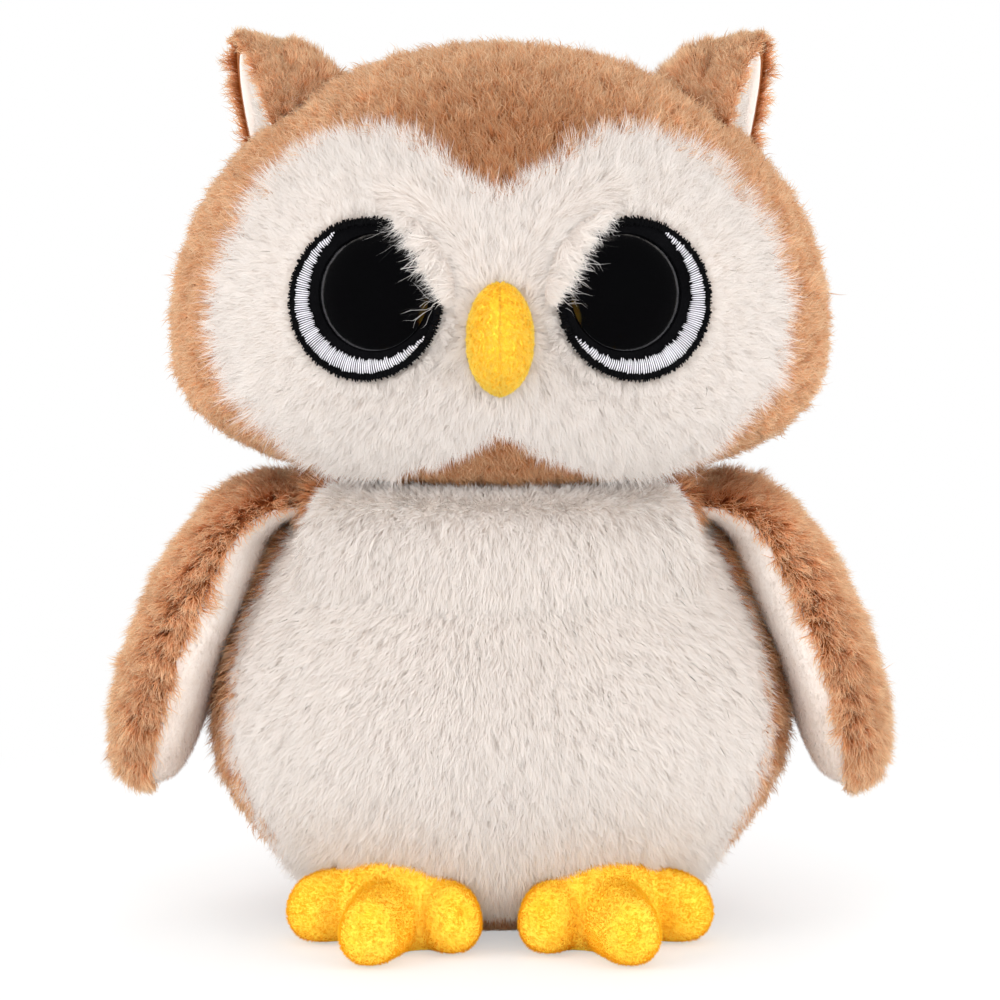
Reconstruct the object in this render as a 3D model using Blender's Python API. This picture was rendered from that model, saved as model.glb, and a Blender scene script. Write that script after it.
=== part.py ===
"""Plush owl with a turning and nodding head, lifting wings and flexing ears.

Metres, +Z up, the owl faces -Y, and its own left side is +X. The origin is the middle of
the flat base panel, on the surface that the toy stands on. Outer fabric surfaces lie at
the middle of the pile. Each sewn panel is a shell of its own, with filling inside it.
"""

import math

import bmesh
import bpy
from mathutils import Matrix, Vector

for old_object in list(bpy.data.objects):
    bpy.data.objects.remove(old_object, do_unlink=True)

# Fabric and fit
GAP = 0.0003
PANEL = 0.0016
THIN_PANEL = 0.0010
OVERRUN = 0.030
PROBE = 0.0001
SHORTEST_EDGE = 0.000008
SHARPEST_SMOOTH_ANGLE = math.radians(35)
LEAST_MITRE_SHARE = 0.5
ROUND_POWER = 2.0

# Body
BODY_WIDTH = 0.159
BODY_FRONT = 0.063
BODY_BACK = 0.056
BODY_HEIGHT = 0.1162
BODY_POWER = 2.1
BODY_PROFILE_SHARES = (
    (0.00, 0.545),
    (0.06, 0.655),
    (0.12, 0.745),
    (0.20, 0.840),
    (0.29, 0.925),
    (0.38, 0.982),
    (0.48, 1.000),
    (0.59, 0.975),
    (0.70, 0.915),
    (0.81, 0.830),
    (0.90, 0.745),
    (0.96, 0.655),
    (1.00, 0.530),
)
BODY_SEGMENTS = 24
BASE_SHARE = 0.92
BELLY_SHARES = (
    (-0.20, 0.36),
    (0.00, 0.38),
    (0.08, 0.54),
    (0.18, 0.70),
    (0.32, 0.85),
    (0.48, 0.905),
    (0.66, 0.875),
    (0.80, 0.800),
    (0.92, 0.700),
    (1.20, 0.620),
)
BELLY_BACK_SHARE = 0.02
POUCH_RADIUS = 0.0275
POUCH_HEIGHT = 0.020
POUCH_SEGMENTS = 24
POUCH_EDGE_SHARES = ((0.00, 0.88), (0.25, 0.99), (0.55, 1.00), (0.82, 0.86), (1.00, 0.55))

# Neck
NECK_RISE = 0.0013
NECK_HEIGHT = BODY_HEIGHT + NECK_RISE
NECK_OPENING = 0.0048
NECK_RADIUS = 0.034
NECK_SEAM_WIDTH = 0.0045
NECK_SEAM_THICKNESS = 0.0020
NECK_SEGMENTS = 24
NECK_CLEARANCE = 0.0005

# Head
HEAD_WIDTH = 0.178
HEAD_FRONT = 0.070
HEAD_BACK = 0.060
HEAD_CROWN = 0.0765
HEAD_JOWL = 0.042
HEAD_WIDEST_HEIGHT = BODY_HEIGHT + NECK_OPENING + HEAD_JOWL
CROWN_POWER = 2.0
JOWL_POWER = 2.6
GIRTH_POWER = 2.05
HEAD_SEGMENTS = 24
HEAD_LEVELS = 12
FILLING_RING_STEPS = 2

# Face lobes, as seen from the front, and the chin gusset below them
FACE_HALF_WIDTH = 0.0735
FACE_RISE = 0.0530
FACE_DROP = 0.0320
FACE_TOP = HEAD_WIDEST_HEIGHT + FACE_RISE
FACE_BOTTOM = HEAD_WIDEST_HEIGHT - FACE_DROP
CHIN_HALF_WIDTH = 0.026
CHIN_TOP_SHARE = 0.30
CHIN_BACK_SHARE = 0.30
FACE_BACK_SHARE = 0.06
FACE_OUTLINE_STEPS = 2
FACE_OUTLINE_SHARES = (
    (0.00, 0.80),
    (0.16, 0.88),
    (0.35, 0.99),
    (0.55, 0.99),
    (0.77, 0.87),
    (0.93, 0.68),
    (1.00, 0.50),
    (0.98, 0.33),
    (0.89, 0.20),
    (0.74, 0.09),
    (0.56, 0.01),
    (0.36, 0.01),
    (0.17, 0.07),
    (0.00, 0.16),
)

# Eyes
EYE_SPREAD = 0.0348
EYE_RISE = 0.013
EYE_HEIGHT = HEAD_WIDEST_HEIGHT + EYE_RISE
PATCH_RADIUS = 0.0210
PATCH_THICKNESS = 0.0009
STITCH_WIDTH = 0.0017
STITCH_THICKNESS = 0.0009
CRESCENT_RADIUS = 0.0190
CRESCENT_CUT_RADIUS = 0.0177
CRESCENT_SHIFT = 0.0030
CRESCENT_TRIM_SHARE = 0.10
PUPIL_RADIUS = 0.0150
PUPIL_RISE = 0.0065
PUPIL_INWARD_SHIFT = 0.0021
PUPIL_UPWARD_SHIFT = 0.0020
SHANK_RADIUS = 0.0028
SHANK_LENGTH = 0.0100
WASHER_RADIUS = 0.0080
WASHER_THICKNESS = 0.0014
WASHER_DEPTH = 0.0036
EYE_SEGMENTS = 24
SHANK_SEGMENTS = 12

# Beak
BEAK_WIDTH = 0.0165
BEAK_LENGTH = 0.0290
BEAK_REACH = 0.0135
BEAK_ROOT = 0.0060
BEAK_RISE = 0.0035
BEAK_HEIGHT = HEAD_WIDEST_HEIGHT + BEAK_RISE
BEAK_PANEL = 0.0008
BEAK_SHARES = (
    (0.04, 0.24, 0.34),
    (0.14, 0.52, 0.72),
    (0.28, 0.80, 0.95),
    (0.42, 0.97, 1.00),
    (0.56, 0.99, 0.96),
    (0.70, 0.87, 0.84),
    (0.84, 0.62, 0.62),
    (0.95, 0.30, 0.34),
)
BEAK_SEGMENTS = 12

# Wings
WING_SEAM_SHARE = 0.955
WING_ROOT_RADIUS = 0.0044
WING_BREADTH = 0.056
WING_THICKNESS = 0.0235
WING_DROP = 0.0835
WING_REACH = 0.0422
WING_SPINE_STEPS = 4
WING_SPINE_SHARES = (
    (0.010, 1.34),
    (0.070, 1.34),
    (0.180, 1.20),
    (0.330, 1.12),
    (0.490, 1.09),
    (0.660, 1.17),
    (0.820, 1.50),
)
WING_SIZE_SHARES = (
    (0.00, 0.62, 0.352),
    (0.12, 0.70, 0.640),
    (0.24, 0.80, 0.860),
    (0.38, 0.91, 0.980),
    (0.54, 1.00, 1.000),
    (0.68, 0.99, 1.000),
    (0.80, 0.90, 0.950),
    (0.89, 0.74, 0.830),
    (0.95, 0.54, 0.640),
    (0.985, 0.28, 0.360),
)
WING_ROOT_DEGREES = (20, 50)
WING_SEGMENTS = 12
WING_POWER = 2.2

# Ears
EAR_SPREAD = 0.0695
EAR_SINK = 0.0003
EAR_SPREAD_SHARE = 2 * EAR_SPREAD / HEAD_WIDTH
EAR_SEAT_HEIGHT = HEAD_CROWN * math.sqrt(1 - EAR_SPREAD_SHARE**2)
EAR_BASE_HEIGHT = HEAD_WIDEST_HEIGHT + EAR_SEAT_HEIGHT - EAR_SINK
EAR_SETBACK = 0.002
EAR_DEPTH = 0.030
EAR_HALF_BREADTH = 0.0145
EAR_TALL = 0.0315
EAR_PANEL = 0.0022
EAR_LINING = 0.0012
EAR_OPENING_TURN = math.radians(20)
EAR_UPRIGHT = math.radians(42)
EAR_SLOPE = math.atan2(4 * EAR_SPREAD / HEAD_WIDTH**2, EAR_SEAT_HEIGHT / HEAD_CROWN**2)
EAR_LEAN = EAR_SLOPE - EAR_UPRIGHT
EAR_FOLD = math.radians(12)
EAR_SEGMENTS = 20
EAR_SEAT_SHARE = 0.688

# Feet
FOOT_SPREAD = 0.0235
FOOT_FORWARD = 0.0280
FOOT_TURN = math.radians(15)
TOE_FAN = math.radians(43)
TOE_REACH = 0.0430
SIDE_TOE_SHARE = 0.72
TOE_RADIUS = 0.0100
TOE_CREST = 0.0102
TOE_TAPER_SHARES = ((0.0, 0.92), (0.45, 1.00), (0.80, 0.92))
TOE_TIP_SHARE = 0.86
TOE_TIP_DEGREES = (15, 40, 65)
PAD_RADIUS = 0.0200
PAD_FORWARD = 0.0100
PAD_CREST = 0.0130
FOOT_AXIS_HEIGHT = 0.0080
FOOT_PANEL = 0.0012
FOOT_SEGMENTS = 12
FOOT_CORE_SEGMENTS = 8
FOOT_LEVELS = 8

# Colours, roughness and metallic value of each material
FINISHES = {
    "brown_fur": ((0.62, 0.32, 0.16), 0.95, 0.0),
    "white_fur": ((0.87, 0.84, 0.81), 0.95, 0.0),
    "white_minky": ((0.84, 0.81, 0.78), 0.90, 0.0),
    "yellow_minky": ((1.00, 0.58, 0.02), 0.85, 0.0),
    "black_felt": ((0.012, 0.012, 0.014), 0.90, 0.0),
    "black_thread": ((0.008, 0.008, 0.009), 0.55, 0.0),
    "white_thread": ((0.80, 0.79, 0.82), 0.45, 0.0),
    "black_plastic": ((0.004, 0.004, 0.005), 0.06, 0.0),
    "washer_plastic": ((0.75, 0.75, 0.72), 0.40, 0.0),
    "fibre_filling": ((0.90, 0.90, 0.90), 1.00, 0.0),
    "pouch_cloth": ((0.80, 0.78, 0.72), 0.90, 0.0),
}
SIDES = (("left", 1.0), ("right", -1.0))


def finish(name):
    """The named material, made the first time that it is asked for."""
    material = bpy.data.materials.get(name)
    if material is None:
        colour, roughness, metallic = FINISHES[name]
        material = bpy.data.materials.new(name)
        material.use_nodes = True
        shader = material.node_tree.nodes["Principled BSDF"]
        shader.inputs["Base Color"].default_value = (*colour, 1.0)
        shader.inputs["Roughness"].default_value = roughness
        shader.inputs["Metallic"].default_value = metallic
        material.diffuse_color = (*colour, 1.0)
    return material


def solid(name, shape):
    """A new object that holds a bmesh, whose faces are turned outwards."""
    bmesh.ops.recalc_face_normals(shape, faces=shape.faces)
    mesh = bpy.data.meshes.new(name)
    shape.to_mesh(mesh)
    shape.free()
    made = bpy.data.objects.new(name, mesh)
    bpy.context.collection.objects.link(made)
    return made


def discard(thing):
    mesh = thing.data
    bpy.data.objects.remove(thing, do_unlink=True)
    bpy.data.meshes.remove(mesh)


def tidy_edges(mesh):
    """Closes up the edges too short to matter that a cut through a corner leaves."""
    shape = bmesh.new()
    shape.from_mesh(mesh)
    bmesh.ops.remove_doubles(shape, verts=shape.verts, dist=SHORTEST_EDGE)
    bmesh.ops.dissolve_degenerate(shape, edges=shape.edges, dist=SHORTEST_EDGE)
    shape.to_mesh(mesh)
    shape.free()


def combine(target, other, operation, keep=False):
    """Boolean of two solids, written back into the first one."""
    other.hide_render = True
    other.display_type = "WIRE"
    boolean = target.modifiers.new(operation.lower(), "BOOLEAN")
    boolean.operation = operation
    boolean.solver = "EXACT"
    boolean.object = other
    graph = bpy.context.evaluated_depsgraph_get()
    result = bpy.data.meshes.new_from_object(target.evaluated_get(graph))
    target.modifiers.remove(boolean)
    previous = target.data
    target.data = result
    bpy.data.meshes.remove(previous)
    tidy_edges(result)
    if not keep:
        discard(other)
    return target


def minus(target, *others):
    for other in others:
        combine(target, other, "DIFFERENCE")
    return target


def within(target, other):
    return combine(target, other, "INTERSECT")


def joined(target, *others):
    for other in others:
        combine(target, other, "UNION")
    return target


def copied(thing, name):
    twin = thing.copy()
    twin.data = thing.data.copy()
    twin.name = name
    bpy.context.collection.objects.link(twin)
    return twin


def named(thing, name, material, carrier=None):
    """Gives a finished piece its name, its material and the empty that carries it."""
    thing.name = name
    thing.data.name = name
    thing.hide_render = False
    thing.display_type = "TEXTURED"
    thing.data.materials.clear()
    thing.data.materials.append(finish(material))
    thing.data.shade_smooth()
    thing.data.set_sharp_from_angle(angle=SHARPEST_SMOOTH_ANGLE)
    if carrier is not None:
        thing.data.transform(Matrix.Translation(-carrier.matrix_world.translation))
        thing.parent = carrier
    return thing


def pivot(name, place, parent=None):
    """An empty on a joint's axis. Its pieces and its child pivots hang from it."""
    empty = bpy.data.objects.new(name, None)
    bpy.context.collection.objects.link(empty)
    empty.location = place
    if parent is not None:
        empty.parent = parent
        empty.location = Vector(place) - parent.matrix_world.translation
    bpy.context.view_layer.update()
    return empty


def signed_power(value, power):
    return math.copysign(abs(value) ** power, value)


def eased(table, place, column=1):
    """A value of a table at a place between its rows, on a smooth curve through them."""
    last = len(table) - 1
    row = 0
    while row < last - 1 and place > table[row + 1][0]:
        row += 1
    start, end = table[row], table[row + 1]
    before, after = table[max(row - 1, 0)], table[min(row + 2, last)]
    span = end[0] - start[0]
    share = (place - start[0]) / span
    slope_in = (end[column] - before[column]) / (end[0] - before[0])
    slope_out = (after[column] - start[column]) / (after[0] - start[0])
    square = share * share
    cube = square * share
    return (
        (2 * cube - 3 * square + 1) * start[column]
        + (cube - 2 * square + share) * span * slope_in
        + (3 * square - 2 * cube) * end[column]
        + (cube - square) * span * slope_out
    )


def open_curve(points, steps):
    """A smooth open curve through a few points, with some steps between each pair."""
    first, last = Vector(points[0]), Vector(points[-1])
    padded = [first * 2 - Vector(points[1]), *map(Vector, points), last * 2 - Vector(points[-2])]
    curve = []
    for index in range(1, len(padded) - 2):
        p0, p1, p2, p3 = padded[index - 1 : index + 3]
        for step in range(steps):
            t = step / steps
            point = (
                2 * p1
                + (p2 - p0) * t
                + (2 * p0 - 5 * p1 + 4 * p2 - p3) * t**2
                + (3 * p1 - p0 - 3 * p2 + p3) * t**3
            )
            curve.append(point / 2)
    return [*curve, last]


def grown_outline(points, distance):
    """A counter-clockwise outline moved outwards, or inwards for a negative distance."""
    count = len(points)
    grown = []
    for index in range(count):
        before, here, after = (points[(index + k) % count] for k in (-1, 0, 1))
        ahead = (after - here).normalized()
        behind = (here - before).normalized()
        normal_a = Vector((ahead.y, -ahead.x))
        normal_b = Vector((behind.y, -behind.x))
        normal = (normal_a + normal_b).normalized()
        mitre = max(normal.dot(normal_a), LEAST_MITRE_SHARE)
        grown.append(here + normal * (distance / mitre))
    return grown


def loft(name, rings, start=None, end=None):
    """A closed solid through rings of points. An end is a point, or else a flat cap."""
    shape = bmesh.new()
    loops = [[shape.verts.new(point) for point in ring] for ring in rings]
    count = len(loops[0])
    for lower, upper in zip(loops, loops[1:]):
        for index in range(count):
            following = (index + 1) % count
            shape.faces.new((lower[index], lower[following], upper[following]))
            shape.faces.new((lower[index], upper[following], upper[index]))
    for loop, pole in ((loops[0], start), (loops[-1], end)):
        if pole is None:
            shape.faces.new(loop)
            continue
        tip = shape.verts.new(pole)
        for index in range(count):
            shape.faces.new((loop[index], loop[(index + 1) % count], tip))
    return solid(name, shape)


def front_prism(name, outline, front, back):
    """An outline in X and Z, as seen from the front, carried from one Y to another."""
    rings = [[Vector((p.x, depth, p.y)) for p in outline] for depth in (front, back)]
    return loft(name, rings)


def block(name, low, high, placing=None):
    """A box between two corners."""
    shape = bmesh.new()
    size = [b - a for a, b in zip(low, high)]
    middle = [(a + b) / 2 for a, b in zip(low, high)]
    matrix = Matrix.Translation(middle) @ Matrix.Diagonal((*size, 1.0))
    bmesh.ops.create_cube(shape, size=1.0, matrix=(placing or Matrix()) @ matrix)
    return solid(name, shape)


def ball(name, centre, radii, turn, segments, levels):
    """A ball or an ellipsoid."""
    shape = bmesh.new()
    matrix = Matrix.Translation(centre) @ (turn or Matrix()) @ Matrix.Diagonal((*radii, 1.0))
    bmesh.ops.create_uvsphere(
        shape, u_segments=segments, v_segments=levels, radius=1.0, matrix=matrix
    )
    return solid(name, shape)


def rod(name, start, end, radius, segments=EYE_SEGMENTS):
    """A round bar from one point to another."""
    shape = bmesh.new()
    along = end - start
    turn = along.to_track_quat("Z", "Y").to_matrix().to_4x4()
    bmesh.ops.create_cone(
        shape,
        cap_ends=True,
        segments=segments,
        radius1=radius,
        radius2=radius,
        depth=along.length,
        matrix=Matrix.Translation((start + end) / 2) @ turn,
    )
    return solid(name, shape)


def girth(height, half_width, front, back, power, segments):
    """A level ring whose front and back halves have depths of their own."""
    points = []
    for step in range(segments):
        angle = math.tau * step / segments
        depth = back if math.sin(angle) > 0 else front
        x = half_width * signed_power(math.cos(angle), 2 / power)
        y = depth * signed_power(math.sin(angle), 2 / power)
        points.append(Vector((x, y, height)))
    return points


def head_solid(name, inset=0.0, ring_steps=1):
    """The whole head, smaller all round by the inset."""
    rings = []
    for level in range(ring_steps, HEAD_LEVELS, ring_steps):
        angle = math.pi * (level / HEAD_LEVELS - 0.5)
        rise, power = (HEAD_CROWN, CROWN_POWER) if angle > 0 else (HEAD_JOWL, JOWL_POWER)
        height = HEAD_WIDEST_HEIGHT + (rise - inset) * signed_power(math.sin(angle), 2 / power)
        share = math.cos(angle) ** (2 / power)
        rings.append(
            girth(
                height,
                (HEAD_WIDTH / 2 - inset) * share,
                (HEAD_FRONT - inset) * share,
                (HEAD_BACK - inset) * share,
                GIRTH_POWER,
                HEAD_SEGMENTS // ring_steps,
            )
        )
    bottom = Vector((0.0, 0.0, HEAD_WIDEST_HEIGHT - HEAD_JOWL + inset))
    top = Vector((0.0, 0.0, HEAD_WIDEST_HEIGHT + HEAD_CROWN - inset))
    return loft(name, rings, bottom, top)


def head_front(x, z):
    """The point of the face's surface at a place seen from the front."""
    rise, power = (HEAD_CROWN, CROWN_POWER) if z > HEAD_WIDEST_HEIGHT else (HEAD_JOWL, JOWL_POWER)
    level = (1 - abs((z - HEAD_WIDEST_HEIGHT) / rise) ** power) ** (1 / power)
    side = abs(x) / (HEAD_WIDTH / 2 * level)
    y = -HEAD_FRONT * level * (1 - side**GIRTH_POWER) ** (1 / GIRTH_POWER)
    return Vector((x, y, z))


def head_front_normal(x, z):
    here = head_front(x, z)
    across = head_front(x + PROBE, z) - here
    up = head_front(x, z + PROBE) - here
    return across.cross(up).normalized()


def body_profile(share):
    return eased(BODY_PROFILE_SHARES, share)


def body_solid(name, inset=0.0, ring_steps=1):
    """The whole pear of the body, with a flat base and a flat top."""
    rings = []
    for share, _ in BODY_PROFILE_SHARES[::ring_steps]:
        width = body_profile(share)
        rings.append(
            girth(
                inset + (BODY_HEIGHT - 2 * inset) * share,
                BODY_WIDTH / 2 * width - inset,
                BODY_FRONT * width - inset,
                BODY_BACK * width - inset,
                BODY_POWER,
                BODY_SEGMENTS // ring_steps,
            )
        )
    return loft(name, rings)


def half(name, side, gap):
    """The space on one side of the middle plane, short of it by half a gap."""
    near = side * gap / 2
    far = side * (HEAD_WIDTH + OVERRUN)
    low = (min(near, far), -HEAD_WIDTH - OVERRUN, -OVERRUN)
    high = (max(near, far), HEAD_WIDTH + OVERRUN, 2 * HEAD_WIDTH)
    return block(name, low, high)


def neck_ball(name, growth=0.0):
    radius = NECK_RADIUS + growth
    centre = (0.0, 0.0, NECK_HEIGHT)
    return ball(name, centre, (radius,) * 3, None, NECK_SEGMENTS, NECK_SEGMENTS // 2)


def face_points(side):
    """One lobe of the face, counter-clockwise as seen from the front."""
    tall = FACE_TOP - FACE_BOTTOM
    rim = [
        (share_x * FACE_HALF_WIDTH, FACE_BOTTOM + share_z * tall)
        for share_x, share_z in FACE_OUTLINE_SHARES
    ]
    curve = open_curve(rim, FACE_OUTLINE_STEPS)
    if side > 0:
        return curve[::-1]
    return [Vector((-p.x, p.y)) for p in curve]


def whole_face_points():
    """Both lobes as one outline, for the opening in the brown panels."""
    left = face_points(1.0)
    right = face_points(-1.0)
    return [*left, *right[1:-1]]


def face_depths():
    return -HEAD_FRONT - OVERRUN, -HEAD_FRONT * FACE_BACK_SHARE


def chin_block(name, growth):
    """The front space below the beak that the chin gusset fills."""
    half_width = CHIN_HALF_WIDTH + growth
    top = FACE_BOTTOM + (FACE_TOP - FACE_BOTTOM) * CHIN_TOP_SHARE
    back = -HEAD_FRONT * CHIN_BACK_SHARE + growth
    low = (-half_width, -HEAD_FRONT - OVERRUN, 0.0)
    return block(name, low, (half_width, back, top + growth))


def make_head(head):
    neck = neck_ball("neck", NECK_CLEARANCE)
    shell = minus(head_solid("shell"), head_solid("core", PANEL))
    combine(shell, neck, "DIFFERENCE", keep=True)
    front, back = face_depths()
    opening = front_prism("opening", grown_outline(whole_face_points(), GAP / 2), front, back)
    brown = combine(copied(shell, "brown"), opening, "DIFFERENCE", keep=True)
    chin = within(copied(brown, "chin"), chin_block("chin_space", -GAP / 2))
    named(chin, "chin_panel", "brown_fur", head)
    minus(brown, chin_block("chin_cut", GAP / 2))
    discard(opening)
    for word, side in SIDES:
        crown = within(copied(brown, "crown"), half("half", side, GAP))
        named(crown, f"head_{word}_panel", "brown_fur", head)
        outline = grown_outline(face_points(side), -GAP / 2)
        lobe = within(copied(shell, "lobe"), front_prism("lobe_space", outline, front, back))
        shank_start, shank_end = shank_line(side)
        minus(lobe, rod("shank_hole", shank_start, shank_end, SHANK_RADIUS + GAP, SHANK_SEGMENTS))
        named(lobe, f"face_{word}_panel", "white_fur", head)
    discard(brown)
    discard(shell)
    filling = minus(head_solid("filling", PANEL + GAP, FILLING_RING_STEPS), neck)
    for _, side in SIDES:
        centre, normal = pupil_place(side)
        deep = centre - normal * (SHANK_LENGTH + GAP)
        minus(filling, rod("pocket", centre + normal * OVERRUN, deep, WASHER_RADIUS + GAP))
    named(filling, "head_stuffing", "fibre_filling", head)


def eye_place(side):
    """Middle of an eye patch on the face, and the way that the eye looks."""
    x = side * EYE_SPREAD
    return head_front(x, EYE_HEIGHT), head_front_normal(x, EYE_HEIGHT)


def pupil_place(side):
    """Where the shank of the pupil goes through the face, and its direction."""
    x = side * (EYE_SPREAD - PUPIL_INWARD_SHIFT)
    z = EYE_HEIGHT + PUPIL_UPWARD_SHIFT
    return head_front(x, z), eye_place(side)[1]


def shank_line(side):
    centre, normal = pupil_place(side)
    return centre + normal * OVERRUN, centre - normal * OVERRUN


def eye_rod(name, side, radius, reach=PUPIL_RADIUS, shift=Vector()):
    """A round bar along the way that the eye looks."""
    centre, normal = eye_place(side)
    centre = centre + shift
    return rod(name, centre - normal * reach, centre + normal * reach, radius)


def layer(name, cutter, low, thickness):
    """A skin of the head's curvature between two heights above the face."""
    skin = within(cutter, head_solid("above", -(low + thickness)))
    minus(skin, head_solid("below", -low))
    skin.name = name
    return skin


def make_eye(word, side, head):
    centre, normal = eye_place(side)
    across = Vector((-normal.y, normal.x, 0.0)).normalized()
    up = normal.cross(across)
    outward = across * side
    patch_low = GAP
    ring_low = patch_low + PATCH_THICKNESS + GAP

    patch = layer("patch", eye_rod("disc", side, PATCH_RADIUS), patch_low, PATCH_THICKNESS)
    shank_start, shank_end = shank_line(side)
    minus(patch, rod("shank_hole", shank_start, shank_end, SHANK_RADIUS + GAP, SHANK_SEGMENTS))
    named(patch, f"eye_{word}_patch", "black_felt", head)

    ring = eye_rod("ring", side, PATCH_RADIUS)
    minus(ring, eye_rod("ring_hole", side, PATCH_RADIUS - STITCH_WIDTH, OVERRUN))
    ring = layer("ring", ring, ring_low, STITCH_THICKNESS)
    named(ring, f"eye_{word}_stitch_ring", "black_thread", head)

    inward_up = (up - outward).normalized()
    crescent = eye_rod("crescent", side, CRESCENT_RADIUS)
    shift = inward_up * CRESCENT_SHIFT
    minus(crescent, eye_rod("bite", side, CRESCENT_CUT_RADIUS, OVERRUN, shift))
    turn = Matrix((inward_up.cross(normal), inward_up, normal)).transposed().to_4x4()
    placing = Matrix.Translation(centre) @ turn
    trim = CRESCENT_RADIUS * CRESCENT_TRIM_SHARE
    low = (-PATCH_RADIUS, -PATCH_RADIUS, -OVERRUN)
    within(crescent, block("trim", low, (PATCH_RADIUS, trim, OVERRUN), placing))
    crescent = layer("crescent", crescent, ring_low, STITCH_THICKNESS)
    named(crescent, f"eye_{word}_crescent", "white_thread", head)

    seat = pupil_place(side)[0]
    rise = ring_low + PUPIL_RISE
    sphere_radius = (PUPIL_RADIUS**2 + rise**2) / (2 * rise)
    middle = seat + normal * (rise - sphere_radius)
    dome = ball(
        "dome",
        middle,
        (sphere_radius,) * 3,
        normal.to_track_quat("Z", "Y").to_matrix().to_4x4(),
        EYE_SEGMENTS,
        EYE_SEGMENTS // 2,
    )
    within(dome, rod("trim", seat - normal * GAP, seat + normal * OVERRUN, PUPIL_RADIUS))
    minus(dome, head_solid("face", -ring_low))
    shank_tip = seat - normal * SHANK_LENGTH
    joined(dome, rod("shank", shank_tip, seat + normal * rise / 2, SHANK_RADIUS, SHANK_SEGMENTS))
    named(dome, f"eye_{word}_pupil", "black_plastic", head)

    washer_top = seat - normal * WASHER_DEPTH
    washer_back = washer_top - normal * WASHER_THICKNESS
    washer = rod("washer", washer_top, washer_back, WASHER_RADIUS, SHANK_SEGMENTS)
    minus(washer, rod("bore", shank_start, shank_end, SHANK_RADIUS + GAP, SHANK_SEGMENTS))
    named(washer, f"eye_{word}_washer", "washer_plastic", head)


def beak_solid(name, inset=0.0):
    """The pointed pad of the beak, running back into the face."""
    seat = head_front(0.0, BEAK_HEIGHT)
    rings = []
    for place, width, reach in BEAK_SHARES:
        height = BEAK_HEIGHT + (BEAK_LENGTH / 2 - inset) * (2 * place - 1)
        ring = girth(
            height,
            max(BEAK_WIDTH / 2 * width - inset, inset + GAP),
            max(BEAK_REACH * reach - inset, inset + GAP),
            BEAK_ROOT,
            ROUND_POWER,
            BEAK_SEGMENTS,
        )
        rings.append([point + Vector((0.0, seat.y, 0.0)) for point in ring])
    return loft(name, rings)


def make_beak(head):
    shell = minus(beak_solid("shell"), beak_solid("core", BEAK_PANEL), head_solid("face", -GAP))
    for word, side in SIDES:
        piece = within(copied(shell, "piece"), half("half", side, GAP))
        named(piece, f"beak_{word}_panel", "yellow_minky", head)
    discard(shell)
    filling = minus(beak_solid("filling", BEAK_PANEL + GAP), head_solid("face", -GAP))
    named(filling, "beak_stuffing", "fibre_filling", head)


def base_outline(growth):
    width = body_profile(0.0) * BASE_SHARE
    ring = girth(
        0.0,
        BODY_WIDTH / 2 * width + growth,
        BODY_FRONT * width + growth,
        BODY_BACK * width + growth,
        BODY_POWER,
        BODY_SEGMENTS,
    )
    return ring


def base_prism(name, growth, low, high):
    outline = base_outline(growth)
    return loft(name, [[p + Vector((0.0, 0.0, z)) for p in outline] for z in (low, high)])


def belly_prism(name, growth):
    """The belly's outline as seen from the front, carried back to the side seams."""
    half_width = BODY_WIDTH / 2
    right = [Vector((w * half_width, z * BODY_HEIGHT)) for z, w in BELLY_SHARES]
    left = [Vector((-p.x, p.y)) for p in reversed(right)]
    outline = grown_outline([*right, *left], growth)
    return front_prism(name, outline, -BODY_FRONT - OVERRUN, -BODY_FRONT * BELLY_BACK_SHARE)


def make_body():
    neck = neck_ball("neck", NECK_CLEARANCE)
    shell = minus(body_solid("shell"), body_solid("core", PANEL))
    combine(shell, neck, "DIFFERENCE", keep=True)
    base = within(copied(shell, "base"), base_prism("base_space", -GAP / 2, -OVERRUN, PANEL))
    named(base, "base_panel", "brown_fur")
    minus(shell, base_prism("base_cut", GAP / 2, -OVERRUN, PANEL + GAP))
    belly = within(copied(shell, "belly"), belly_prism("belly_space", -GAP / 2))
    named(belly, "belly_panel", "white_fur")
    minus(shell, belly_prism("belly_cut", GAP / 2))
    for word, side in SIDES:
        back = within(copied(shell, "back"), half("half", side, GAP))
        named(back, f"body_{word}_panel", "brown_fur")
    discard(shell)
    filling = minus(body_solid("filling", PANEL + GAP, FILLING_RING_STEPS), neck)
    minus(filling, pouch_solid("pouch_pocket", GAP))
    named(filling, "body_stuffing", "fibre_filling")
    named(pouch_solid("pouch", 0.0), "pellet_pouch", "pouch_cloth")


def pouch_solid(name, growth):
    """A round bag of pellets that lies on the base panel."""
    floor = PANEL + GAP
    sizes = [
        (floor + POUCH_HEIGHT * height_share, POUCH_RADIUS * radius_share + growth)
        for height_share, radius_share in POUCH_EDGE_SHARES
    ]
    if growth:
        sizes = [(0.0, sizes[0][1]), *sizes[:-1], (sizes[-1][0] + growth, sizes[-1][1])]
    rings = [
        girth(height, radius, radius, radius, ROUND_POWER, POUCH_SEGMENTS)
        for height, radius in sizes
    ]
    return loft(name, rings)


def make_neck(neck):
    named(neck_ball("core"), "neck_stuffing", "fibre_filling", neck)
    inner = NECK_RADIUS + GAP
    outer = inner + NECK_SEAM_WIDTH
    low = Vector((0.0, 0.0, NECK_HEIGHT - NECK_SEAM_THICKNESS / 2))
    high = Vector((0.0, 0.0, NECK_HEIGHT + NECK_SEAM_THICKNESS / 2))
    over = Vector((0.0, 0.0, OVERRUN))
    ring = rod("ring", low, high, outer, NECK_SEGMENTS)
    minus(ring, rod("bore", low - over, high + over, inner, NECK_SEGMENTS))
    named(ring, "neck_seam", "brown_fur", neck)


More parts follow.
